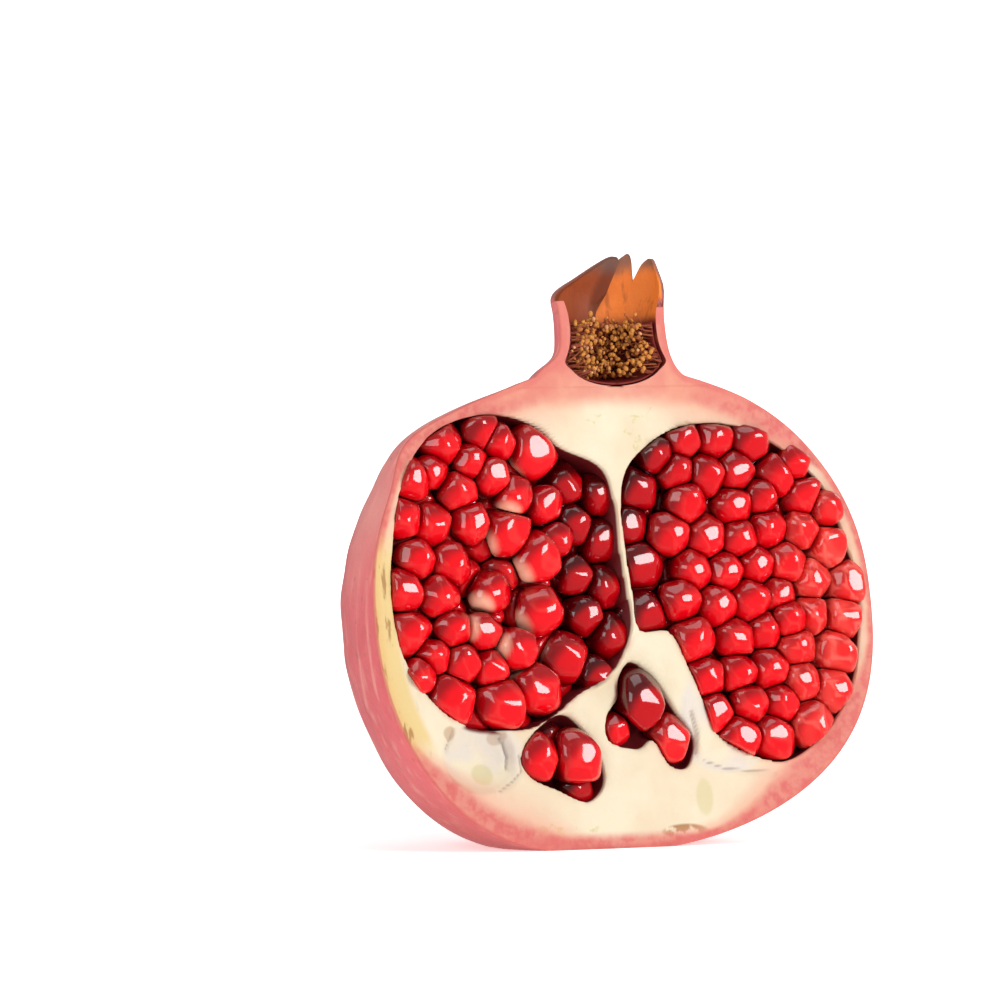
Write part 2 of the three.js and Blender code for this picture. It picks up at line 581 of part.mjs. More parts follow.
// One dried stamen: a bent thread with three sides, and the anther at its end.
function stamenSolid(turn, v, draw) {
  const wall = cupRadius(v) - SEAM_GAP - LINING_THICK / 2;
  const length = 2.6 + 1.6 * draw();
  const rise = 0.6 + 2.0 * draw();
  const swing = 14 * (draw() - 0.5);
  const spine = [0, 0.5, 1].map((t) => {
    const radius = wall - length * t;
    return new THREE.Vector3(...ringPoint(turn + swing * t, v + rise * t * t, radius));
  });
  const rings = spine.map((p, i) => {
    const radius = FILAMENT_THICK * (1.15 - 0.25 * (i / 2));
    return [90, 210, 330].map((a) => {
      const angle = radians(a);
      const side = radians(turn + 90);
      const out = radius * Math.cos(angle);
      return [p.x + out * Math.cos(side), p.y + out * Math.sin(side), p.z + radius * Math.sin(angle)];
    });
  });
  const thread = ringSolid(rings, spine[0].toArray(), spine[2].toArray());
  const anther = new THREE.OctahedronGeometry(ANTHER_SIZE, 0).scale(0.8, 0.8, 1.25).translate(...spine[2].toArray());
  return thread.add(solidOf(anther));
}

// The dried stamens, standing on the disc that lines the crown's cup.
function stamensSolid(front) {
  const top = CUP_FLOOR + 11.6;
  const outer = cupSolid(SEAM_GAP, top, SEAM_GAP, 20);
  const inner = cupSolid(SEAM_GAP + LINING_THICK, top + 2, SEAM_GAP + LINING_THICK, 20);
  const lining = outer.subtract(inner);
  const draw = seededDraw(41);
  const stamens = [];
  for (let row = 0; row < FILAMENT_ROWS; row++) {
    for (let i = 0; i < FILAMENTS_IN_ROW; i++) {
      const turn = 12 + (156 * (i + 0.5 * (row % 2) + 0.25)) / FILAMENTS_IN_ROW + 8 * (draw() - 0.5);
      const v = CUP_FLOOR + 2.4 + 1.9 * row + 0.6 * (draw() - 0.5);
      stamens.push(stamenSolid(turn, v, draw));
    }
  }
  const whole = lining.add(union(stamens)).intersect(cupSolid(SEAM_GAP, top + 6, SEAM_GAP, 20));
  return largestPiece(whole.subtract(front));
}

// What lies in front of the cut, and what lies under the flat spot once the fruit leans back.
const frontHalf = boxSolid([-80, -40, -70], [80, 0, 90]);
const lean = radians(LEAN_DEG);

// The lowest point of the leaning body, from which the flat spot is trimmed up.
function floorHeight() {
  let lowest = 0;
  for (let i = 0; i <= 200; i++) {
    const v = -BASE_HEIGHT + (BASE_HEIGHT * i) / 400;
    lowest = Math.min(lowest, v * Math.cos(lean) - huskRadius(v) * Math.sin(lean));
  }
  return lowest + FOOT_TRIM;
}
const floorLevel = floorHeight();
const underFloor = boxSolid([-80, -80, floorLevel - 40], [80, 80, floorLevel]).rotate([LEAN_DEG, 0, 0]);

const finishes = {
  husk: new THREE.MeshStandardMaterial({ color: 0xd8455a, roughness: 0.5, metalness: 0 }),
  aril: new THREE.MeshStandardMaterial({ color: 0xb00718, roughness: 0.12, metalness: 0 }),
  stamen: new THREE.MeshStandardMaterial({ color: 0xb98638, roughness: 0.8, metalness: 0 }),
};

const fruit = new THREE.Group();
function place(name, solid, finish) {
  const mesh = new THREE.Mesh(geometryOf(solid), finish);
  mesh.name = name;
  fruit.add(mesh);
}

place("husk", huskSolid(frontHalf, underFloor), finishes.husk);
place("arils_left", clusterSolid(CHAMBERS.left, packArils(CHAMBERS.left), 34, CORE_SINK, SEAM_GAP), finishes.aril);
place("arils_right", clusterSolid(CHAMBERS.right, packArils(CHAMBERS.right), 34, CORE_SINK, SEAM_GAP), finishes.aril);
Object.entries(SMALL_CHAMBERS).forEach(([name, chamber]) => {
  place("arils_" + name, clusterSolid(chamber, listedArils(chamber), 20, 3.2, 1.8 * SEAM_GAP), finishes.aril);
});
place("stamens", stamensSolid(frontHalf), finishes.stamen);

// The fruit's frame turned so that the face leans back, and moved so that the flat spot lies at Z = 0.
// The origin is on the flat spot, straight below the middle of the fruit's weight.
fruit.rotation.x = -lean;
fruit.position.set(0, -FOOT_BEHIND, -floorLevel);

const pomegranate = new THREE.Group();
pomegranate.add(fruit);

export default pomegranate;
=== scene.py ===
"""A pomegranate cut in half from crown to base, standing on its flattened base.

Every surface is worked out with numpy in the fruit's own frame, in millimetres: u across the cut face, depth
straight back from it, and v up the fruit's axis. FruitForm then leans the fruit back and puts it in the scene.
"""

from __future__ import annotations

import logging
import math
from dataclasses import dataclass, field
from enum import Enum
from typing import Any

import bpy
import numpy as np
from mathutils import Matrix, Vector

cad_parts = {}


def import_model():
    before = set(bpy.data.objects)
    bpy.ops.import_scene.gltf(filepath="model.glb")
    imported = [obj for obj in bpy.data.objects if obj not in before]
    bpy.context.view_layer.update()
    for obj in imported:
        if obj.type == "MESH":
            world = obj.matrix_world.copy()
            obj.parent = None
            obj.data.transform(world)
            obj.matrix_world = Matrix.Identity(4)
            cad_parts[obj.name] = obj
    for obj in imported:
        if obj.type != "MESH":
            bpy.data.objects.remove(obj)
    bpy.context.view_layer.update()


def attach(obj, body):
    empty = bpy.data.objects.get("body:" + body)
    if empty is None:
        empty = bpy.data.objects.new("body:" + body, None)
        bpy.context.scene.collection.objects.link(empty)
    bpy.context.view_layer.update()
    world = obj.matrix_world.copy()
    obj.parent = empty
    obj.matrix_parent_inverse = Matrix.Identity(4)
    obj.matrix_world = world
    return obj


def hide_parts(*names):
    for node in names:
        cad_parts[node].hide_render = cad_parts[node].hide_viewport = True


log = logging.getLogger("pomegranate")

Array = np.ndarray


def smooth(x: Array | float, low: float, high: float) -> Array:
    """Ease from 0 at low to 1 at high with the cubic 3t^2 - 2t^3."""
    t = np.clip((np.asarray(x, float) - low) / (high - low), 0.0, 1.0)
    return t * t * (3.0 - 2.0 * t)


def mix(a: Any, b: Any, t: Any) -> Any:
    """Blend from a to b in a straight line as t goes from 0 to 1."""
    return a + (b - a) * t


def ripple(points: Array, pitch: float, seed: int) -> Array:
    """Give soft, uneven waves: a mean of sines that run in fixed, seeded directions.

    Args:
        points: Places in millimetres, one in each row.
        pitch: Typical distance between two crests, in millimetres.
        seed: Choice of the directions.

    Returns:
        A value from about -1 to 1 for each place.
    """
    draw = np.random.default_rng(seed)
    ways = draw.normal(size=(9, 3))
    ways *= (2 * math.pi / pitch) * draw.uniform(0.6, 1.5, (9, 1)) / np.linalg.norm(ways, axis=1, keepdims=True)
    phases = draw.uniform(0, 2 * math.pi, 9)
    return np.sin(points @ ways.T + phases).sum(axis=-1) / 4.0


def outline_way(outline: Array, u: Array, v: Array) -> tuple[Array, Array, Array]:
    """Find how far places are from a closed outline, and which way its nearest edge lies.

    Args:
        outline: The outline's corners, one (u, v) in each row.
        u: Places across.
        v: Places up, of the same shape as u.

    Returns:
        The signed distance, negative inside, and the two parts of the step to the nearest point of the outline.
    """
    at = np.stack([u.ravel(), v.ravel()], axis=1)
    best = np.full(len(at), np.inf)
    step = np.zeros_like(at)
    inside = np.zeros(len(at), bool)
    for a, b in zip(outline, np.roll(outline, -1, axis=0)):
        edge = b - a
        t = np.clip((at - a) @ edge / max(float(edge @ edge), 1e-12), 0.0, 1.0)
        away = a + t[:, None] * edge - at
        gap = np.hypot(away[:, 0], away[:, 1])
        step = np.where((gap < best)[:, None], away, step)
        best = np.minimum(best, gap)
        crosses = (a[1] > at[:, 1]) != (b[1] > at[:, 1])
        rise = edge[1] if edge[1] else 1e-9
        inside ^= crosses & (at[:, 0] < edge[0] * (at[:, 1] - a[1]) / rise + a[0])
    return tuple(x.reshape(u.shape) for x in (np.where(inside, -best, best), step[:, 0], step[:, 1]))


def outline_distance(outline: Array, u: Array, v: Array) -> Array:
    """Signed distance from places to a closed outline, negative inside."""
    return outline_way(outline, u, v)[0]


def path_distance(path: tuple[tuple[float, float], ...], u: Array, v: Array) -> Array:
    """Distance from places to an open path through the given corners."""
    best = np.full(u.shape, np.inf)
    for (au, av), (bu, bv) in zip(path[:-1], path[1:]):
        t = np.clip(((u - au) * (bu - au) + (v - av) * (bv - av)) / ((bu - au) ** 2 + (bv - av) ** 2), 0.0, 1.0)
        best = np.minimum(best, np.hypot(u - au - t * (bu - au), v - av - t * (bv - av)))
    return best


def smooth_outline(points: list[tuple[float, float]], count: int) -> Array:
    """Pass a closed Catmull-Rom curve through the points and return count corners on it."""
    p = np.array(points, float)
    s = np.arange(count) * len(p) / count
    i = np.floor(s).astype(int)
    t = (s - i)[:, None]
    a, b, c, d = (p[(i + k) % len(p)] for k in (-1, 0, 1, 2))
    return 0.5 * (2 * b + (c - a) * t + (2 * a - 5 * b + 4 * c - d) * t**2 + (3 * b - a - 3 * c + d) * t**3)


@dataclass(frozen=True)
class Sepal:
    """One lobe of the crown's edge: turn and height of its two notches and its tip, and the powers of its curves."""

    right: tuple[float, float]
    tip: tuple[float, float]
    left: tuple[float, float]
    right_full: tuple[float, float]
    left_full: tuple[float, float]

    def edge(self, turn: Array) -> Array:
        """Height of the lobe's edge: notch + (tip - notch) (1 - s^p)^q, with s from 0 at the tip to 1 at a notch.

        Args:
            turn: Angles round the crown, in degrees.

        Returns:
            The height at each angle, or 0 outside the lobe.
        """
        height = np.zeros_like(turn)
        for notch, (p, q) in ((self.right, self.right_full), (self.left, self.left_full)):
            share = (turn - self.tip[0]) / (notch[0] - self.tip[0])
            lobe = notch[1] + (self.tip[1] - notch[1]) * (1 - np.clip(share, 0, 1) ** p) ** q
            height = np.where((share >= 0) & (share <= 1), lobe, height)
        return height


@dataclass(frozen=True)
class FruitForm:
    """Sizes of the fruit's outer form and of its crown, in millimetres and degrees."""

    radius: float = 50.2
    top: float = 42.0
    base: float = 42.3
    roundness: float = 2.3
    rib_count: int = 6
    rib_share: float = 0.012
    shoulder_flare: float = 0.125
    collar_flare: float = 0.19
    base_shift: float = -6.0
    crown_shift: float = 1.8
    lean: float = 9.0
    foot_trim: float = 2.0
    foot_behind: float = 18.0
    neck: float = 10.7
    flare: float = 4.5
    flare_start: float = 41.0
    flare_fade: float = 2.5
    tip_height: float = 63.0
    rim_height: float = 55.2
    sepals: tuple[Sepal, ...] = (
        Sepal((0.0, 54.0), (17.0, 62.8), (46.5, 59.2), (2.0, 0.7), (1.9, 1.0)),
        Sepal((46.5, 59.2), (64.0, 64.0), (84.5, 54.3), (1.9, 1.0), (1.0, 0.3)),
        Sepal((84.5, 54.3), (92.0, 63.5), (150.0, 55.3), (3.0, 1.0), (1.0, 1.0)),
    )
    sepal_bulge: float = 0.8
    bend_start: float = 52.5
    bend_right: float = 8.6
    bend_forward: float = 3.8
    bend_middle: float = 0.19
    bend_flap: float = 0.38
    overlap: float = 1.1
    wall: float = 2.0
    tip_wall: float = 1.0
    neck_flatten: float = 0.15
    cup_floor: float = 40.0
    cup_rounding: float = 4.6

    def neck_radius(self, v: Array) -> Array:
        """Radius of the neck, which flares out where it joins the shoulder."""
        return self.neck + self.flare * np.exp(-np.maximum(v - self.flare_start, 0) / self.flare_fade)

    def flatness(self, v: Array) -> Array:
        """Depth of a ring against its width: above the shoulder the rings are a little flatter."""
        return 1 - self.neck_flatten * smooth(v, 36, 46)

    def husk_radius(self, v: Array) -> Array:
        """Radius of body and neck together: a super-ellipse blended into the neck with a fifth-power sum."""
        v = np.asarray(v, float)
        height = np.where(v > 0, self.top, self.base)
        rise = np.minimum(np.abs(v) / height, 1.0)
        body = self.radius * (1 - rise**self.roundness) ** (1 / self.roundness)
        neck = self.neck_radius(v) * smooth(v, 30, 38)
        return (body**5 + neck**5) ** 0.2

    def middle_line(self, v: Array) -> Array:
        """How far the fruit's middle line stands to the side at height v."""
        v = np.asarray(v, float)
        low = self.base_shift * (np.maximum(-v, 0) / 40) ** 4
        return np.where(v < 0, low, self.crown_shift * smooth(v, 25, 45))

    def ribs(self, turn: Array, v: Array) -> Array:
        """Soft lobes round the body, and on the left a drawn-out shoulder at the cut and a fuller collar."""
        fade = 1 - np.clip(np.abs(v) / self.top, 0, 1) ** 2
        flare = self.shoulder_flare * (1 - smooth(np.abs(turn - 180), 0, 30)) * np.exp(-(((v - 33) / 7) ** 2))
        side = 1 - smooth(np.abs(turn - 180), 35, 90)
        collar = self.collar_flare * side * np.exp(-(((v - 42.8) / 2.2) ** 2))
        return (1 + flare + collar) * (1 + self.rib_share * fade * np.cos(np.radians(self.rib_count * turn + 35)))

    def crown_edge(self, turn: Array) -> Array:
        """Height of the crown's edge: a pointed lobe for each sepal, and a level rim past the last."""
        height = np.maximum.reduce([sepal.edge(np.asarray(turn, float)) for sepal in self.sepals])
        return np.where(height > 0, height, self.rim_height)

    def crown_radius(self, v: Array) -> Array:
        """Outer radius of the crown, with the sepals' bases standing out a little."""
        return self.neck_radius(v) + self.sepal_bulge * np.exp(-(((v - 57.5) / 3) ** 2))

    def crown_wall(self, v: Array) -> Array:
        """Thickness of the crown's wall, thinning towards the tips."""
        return mix(self.wall, self.tip_wall, smooth(v, 50, 61))

    def cup_radius(self, v: Array) -> Array:
        """Inner radius of the crown's cup, with a rounded floor."""
        inner = self.crown_radius(v) - self.crown_wall(v) + 0.6 * np.exp(-(((v - 44) / 2.5) ** 2))
        height = np.clip((v - self.cup_floor) / self.cup_rounding, 0, 1)
        limit = mix(np.minimum(inner, self.neck - self.wall + 0.9), inner, smooth(v, 42.6, 45.0))
        return np.maximum(limit * np.sqrt(1 - (1 - height) ** 2), 0.05)

    def bend(self, turn: Array, v: Array) -> tuple[Array, Array]:
        """Shift of the crown's wall: the sepals lean to the right and forward as they rise, the left one the most.

        The left sepal's edge also laps over the middle one.

        Args:
            turn: Angles round the crown, in degrees.
            v: Heights.

        Returns:
            The shift to the right and the shift back, in millimetres.
        """
        rise = np.clip((v - self.bend_start) / (self.tip_height - self.bend_start), 0, 1.25) ** 1.5
        slit = self.sepals[-1].right[0]
        middle = self.bend_middle * smooth(turn, 30, 58)
        share = mix(middle, self.bend_flap, smooth(turn, slit - 9.5, slit)) * (1 - smooth(turn, 118, 148))
        lap = self.overlap * (turn > slit) * smooth(v, 54.8, 57.5) * (1 - smooth(turn, slit + 2, slit + 10))
        forward = -self.bend_forward * np.sin(np.radians(turn)) * rise - 1.3 * lap
        return self.bend_right * share * rise + lap, forward

    def floor_level(self) -> float:
        """Height of the table under the leaning fruit: the body's lowest point plus what is worn flat."""
        v = -self.base + self.base * np.arange(201) / 400
        lean = math.radians(self.lean)
        return float((v * math.cos(lean) - self.husk_radius(v) * math.sin(lean)).min()) + self.foot_trim

    def to_scene(self, points: Array) -> Array:
        """Lean places of the fruit's frame back and set them on the table, in metres.

        Args:
            points: Rows of (u, depth, v) in millimetres.

        Returns:
            Rows of (x, y, z) in metres.
        """
        lean = math.radians(self.lean)
        x, y, z = points[..., 0], points[..., 1], points[..., 2]
        back = y * math.cos(lean) + z * math.sin(lean) - self.foot_behind
        up = z * math.cos(lean) - y * math.sin(lean) - self.floor_level()
        return np.stack([x, back, up], axis=-1) / 1000.0


FORM = FruitForm()


def signed_volume(points: Array, faces: list[list[int]]) -> float:
    """Volume that the faces enclose, from one fan of triangles in each; negative if they point inwards."""
    total = 0.0
    for size in {len(f) for f in faces}:
        some = np.array([f for f in faces if len(f) == size])
        first = points[some[:, 0]]
        for k in range(1, size - 1):
            total += float(np.einsum("ij,ij->", first, np.cross(points[some[:, k]], points[some[:, k + 1]])))
    return total / 6.0


def grid_faces(rows: int, columns: int, start: int = 0) -> Array:
    """Quads that join the rings of a grid, each ring closed on itself.

    Args:
        rows: Number of rings.
        columns: Number of points in a ring.
        start: Index of the first point.

    Returns:
        One row of four indices for each quad.
    """
    i, j = np.meshgrid(np.arange(rows - 1), np.arange(columns), indexing="ij")
    k = (j + 1) % columns
    a = start + i * columns
    return np.stack([a + j, a + k, a + k + columns, a + j + columns], axis=-1).reshape(-1, 4)


def make_piece(name: str, points: Array, faces: list[list[int]], marks: dict[str, Array]) -> bpy.types.Object:
    """Make a smooth mesh object from places in the fruit's frame.

    Args:
        name: The piece's name.
        points: Rows of (u, depth, v) in millimetres.
        faces: Lists of indices, all wound the same way.
        marks: Values for each point, kept as attributes that the finish reads.

    Returns:
        The new object, at the origin.
    """
    placed = FORM.to_scene(points)
    placed[:, 2] = np.maximum(placed[:, 2], 0.0)
    if signed_volume(placed, faces) < 0:
        faces = [f[::-1] for f in faces]
    mesh = bpy.data.meshes.new(name)
    mesh.from_pydata(placed.tolist(), [], faces)
    mesh.polygons.foreach_set("use_smooth", np.ones(len(mesh.polygons), bool))
    for key, values in marks.items():
        layer = mesh.attributes.new(key, "FLOAT", "POINT")
        layer.data.foreach_set("value", np.ascontiguousarray(values, np.float32))
    mesh.update()
    piece = bpy.data.objects.new(name, mesh)
    bpy.context.collection.objects.link(piece)
    log.info("%s: %d points, %d faces", name, len(points), len(faces))
    return piece


@dataclass(frozen=True)
class Aril:
    """One seed in its red juice sac, with its middle, the way its outer tip points, and its size."""

    at: Array
    tip: Array
    size: float
    lying: float
    # Tint from -1 to 1: partly a random difference, mostly painted shade (dark) and painted light (salmon).
    tone: float
    front: bool


@dataclass(frozen=True)
class Chamber:
    """One seed chamber of the cut face: its outline in u and v, its floor, and the tint of its arils, which carries
    painted shade and painted light.
    """

    name: str
    seed: int
    outline: list[tuple[float, float]]
    floor: float
    arils: list[tuple[float, ...]]
    listed: bool = False

    def polygon(self) -> Array:
        """The outline as a fine polygon."""
        return smooth_outline(self.outline, 96)

    def recess(self, u: float) -> float:
        """How far behind the cut plane the arils' front stands at u."""
        if self.name == "left":
            return float(-1.6 + 2.6 * smooth(u, -20, -7))
        return float(1.4 - 3.4 * smooth(u, 2, 13))

    def tone(self, u: float, v: float) -> float:
        """Tint of the arils at u, v, from -1 for nearly black red to 1 for light salmon red: painted shade towards the
        septum and higher up, and painted light towards the right chamber's outer rim, lower down.
        """
        if self.name == "left":
            return float(-1.15 * smooth(u, -15, -6) - 0.3 * smooth(v, 20, 32) + 0.1)
        if self.name == "right":
            shade = -0.75 * (1 - smooth(u, 2, 16)) - 0.4 * smooth(v, 8, 28)
            return float(shade + 0.85 * smooth(u, 26, 46) * (1 - 0.7 * smooth(v, 12, 26)))
        return -0.3


LARGE = (
    Chamber(
        name="left",
        seed=11,
        outline=[
            (-46.8, 2.0), (-45.9, 12.5), (-43.8, 21.5), (-39.2, 29.6), (-33.0, 33.8), (-24.6, 35.4), (-16.5, 33.8),
            (-10.6, 29.4), (-2.6, 25.8), (-0.35, 19.5), (-0.05, 11.5), (0.7, 4.0), (1.2, -3.0), (-3.4, -10.4),
            (-10.5, -14.2), (-17.8, -18.8), (-25.6, -20.2), (-36.6, -17.8), (-44.6, -8.6),
        ],
        floor=9.5,
        arils=[
            (-33.8, 30.5, 1.1, 0, 0), (-25.3, 32.3, 1.02, 0.7, 90), (-15.6, 29.0, 1.28, 1, 42),
            (-40.4, 24.4, 0.98, 0.1, 180), (-36.2, 25.6, 0.8, 0, 0), (-31.0, 22.2, 1.0, 0, 0),
            (-20.2, 21.2, 0.9, 1.3, 60), (-24.6, 24.6, 0.85, 0.6, 60), (-42.6, 17.6, 0.95, 0.1, 180),
            (-36.8, 16.5, 1.1, 0, 0), (-21.6, 15.2, 1.2, 1.1, 25), (-8.6, 23.2, 1.1, 0.3, -60),
            (-1.2, 21.6, 1.0, 0.2, 180), (-29.3, 16.6, 0.95, 0.2, 0), (-40.4, 10.4, 0.98, 0, 0),
            (-33.7, 9.5, 1.02, 0, 0), (-15.6, 10.4, 1.18, 1.1, 35), (-7.4, 16.2, 0.95, 0.3, 0),
            (-1.8, 13.2, 1.05, 0.2, 180), (-26.0, 4.3, 0.95, 1.3, 40), (-36.7, 3.7, 1.0, 0, 0),
            (-43.6, 5.0, 1.0, 0.1, 180), (-16.2, 1.0, 1.18, 1.1, 30), (-8.2, 7.2, 0.95, 0.3, 0),
            (-1.8, 5.0, 1.0, 0.2, 180), (-42.8, -2.5, 1.15, 0, 0), (-34.6, -2.0, 0.9, 0, 0),
            (-28.4, -2.6, 0.9, 1.3, -10), (-6.6, 0.2, 0.95, 0.3, 0), (-1.0, -3.6, 1.12, 0.3, 200),
            (-22.0, -5.9, 0.96, 1.2, -10), (-11.4, -7.3, 1.2, 1.0, -25), (-38.6, -6.7, 0.85, 0, 0),
            (-33.1, -7.9, 0.92, 0.1, 0), (-27.6, -8.9, 0.85, 0.4, -30), (-35.6, -13.6, 1.22, 0.8, -60),
            (-26.0, -14.9, 1.2, 0.7, -60), (-18.6, -12.7, 1.15, 0.9, -40), (-42.0, -10.1, 0.8, 0.5, 200),
            (-5.4, -10.4, 0.85, 0.6, -60), (-22.6, 30.4, 0.8, 0.4, 80), (-13.4, 19.4, 0.9, 0.5, 60),
            (-28.4, 27.2, 0.85, 0.2, 90), (-11.6, 13.4, 0.8, 0.8, 20),
        ],
    ),
    Chamber(
        name="right",
        seed=23,
        outline=[
            (0.8, 19.5), (2.6, 25.4), (7.2, 29.6), (13.0, 32.4), (19.5, 33.3), (27.0, 32.4), (33.4, 29.4),
            (39.0, 25.4), (43.4, 20.4), (46.2, 12.6), (48.5, 4.5), (48.0, -4.0), (46.2, -12.5), (42.2, -19.2),
            (36.6, -24.4), (30.0, -27.2), (22.5, -25.4), (16.4, -21.6), (14.2, -15.6), (11.8, -9.6), (8.6, -3.6),
            (2.6, -3.2), (1.7, 4.0), (0.95, 11.5),
        ],
        floor=9.5,
        arils=[
            (15.0, 30.4, 0.9, 0.2, 90), (9.3, 28.0, 0.85, 0.3, 120), (21.6, 30.2, 1.05, 0.1, 90),
            (28.6, 30.0, 1.0, 0.2, 60), (13.2, 25.0, 0.95, 0, 0), (6.6, 22.4, 1.15, 0.3, 200),
            (19.0, 24.2, 0.98, 0, 0), (25.0, 24.8, 0.95, 0.2, 0), (33.6, 23.6, 1.05, 0.3, 80),
            (38.8, 19.9, 1.1, 0.4, 40), (14.6, 19.4, 0.95, 0, 0), (24.4, 18.6, 1.05, 0, 0),
            (30.4, 20.0, 0.85, 0.1, 0), (4.9, 15.8, 1.1, 0.3, 180), (11.2, 14.0, 1.05, 0.1, 0),
            (37.4, 26.0, 0.85, 0.3, 40), (18.4, 13.2, 1.05, 0, 0), (31.2, 14.3, 0.98, 0, 0),
            (37.6, 13.9, 0.92, 0, 0), (25.0, 12.8, 0.9, 0, 0), (6.2, 8.8, 1.2, 0.5, 160),
            (15.2, 7.3, 1.0, 0, 0), (21.8, 6.9, 0.95, 0, 0), (28.2, 8.0, 0.9, 0, 0), (34.1, 8.3, 1.05, 0, 0),
            (43.0, 11.2, 1.1, 0.3, 30), (47.2, 4.2, 1.1, 0.6, 0), (6.0, -0.1, 1.1, 0.9, 180),
            (19.6, 0.9, 1.05, 0, 0), (26.2, 1.7, 1.05, 0, 0), (32.4, 2.4, 0.95, 0, 0), (39.4, 5.0, 1.0, 0, 0),
            (12.2, 2.0, 1.0, 0.2, 200), (14.2, -5.0, 1.15, 0.2, 220), (22.4, -5.0, 1.05, 0, 0),
            (29.1, -3.6, 0.98, 0, 0), (38.6, -1.2, 0.95, 0, 0), (45.6, -1.8, 1.05, 0.2, 0),
            (34.9, -6.9, 1.0, 0, 0), (43.4, 17.6, 0.85, 0.3, 30), (16.2, -11.7, 1.05, 0.4, 210),
            (22.5, -11.2, 1.0, 0, 0), (29.4, -10.6, 1.1, 0, 0), (43.0, -8.0, 1.15, 0.2, 0),
            (35.4, -12.9, 0.95, 0, 0), (33.6, -1.9, 0.85, 0, 0), (17.2, -17.9, 0.95, 0.5, 240),
            (24.0, -16.6, 0.9, 0.2, -90), (21.6, -22.4, 1.05, 0.5, -90), (29.0, -22.2, 1.15, 0.5, -80),
            (31.0, -16.6, 0.95, 0, 0), (41.6, -14.6, 1.1, 0.2, -30), (36.8, -20.2, 1.1, 0.4, -50),
        ],
    ),
)

SMALL = (
    Chamber(
        name="lower_left",
        seed=5,
        outline=[
            (-23.4, -24.4), (-19.8, -20.2), (-14.6, -17.6), (-10.8, -20.0), (-7.4, -25.6), (-7.0, -30.2),
            (-10.6, -33.2), (-16.4, -31.0), (-22.0, -28.4),
        ],
        floor=5.5,
        listed=True,
        arils=[
            (-12.2, -25.0, 1.9, 0.45, -0.8, -0.35, 1.16, -0.15), (-19.2, -24.6, 2.6, 0.2, -0.9, -0.4, 0.98, 0.15),
            (-11.4, -30.4, 4.6, 0.6, -0.5, -0.5, 0.78, -0.8), (-15.8, -21.6, 6.4, 0.1, -0.5, -0.9, 0.95, -0.9),
        ],
    ),
    Chamber(
        name="lower_middle",
        seed=7,
        outline=[
            (0.4, -8.6), (4.6, -11.6), (8.6, -17.6), (12.0, -22.6), (10.4, -27.6), (6.6, -27.2), (3.6, -22.8),
            (0.4, -24.2), (-5.4, -22.6), (-5.6, -18.4), (-2.6, -15.0), (-2.2, -11.4),
        ],
        floor=5.0,
        listed=True,
        arils=[
            (1.9, -15.4, 2.3, 0.12, -0.95, -0.3, 1.2, -0.75), (-2.6, -20.2, 3.6, -0.3, -0.8, -0.5, 0.72, 0.1),
            (7.4, -22.0, 2.6, 0.25, -0.9, -0.35, 0.98, 0.3), (4.6, -15.8, 6.2, 0.4, -0.5, -0.75, 0.9, -0.8),
        ],
    ),
)


class Wrap(Enum):
    """Where a point of the husk lies."""

    SKIN = 0
    CUT = 1
    CUP = 2


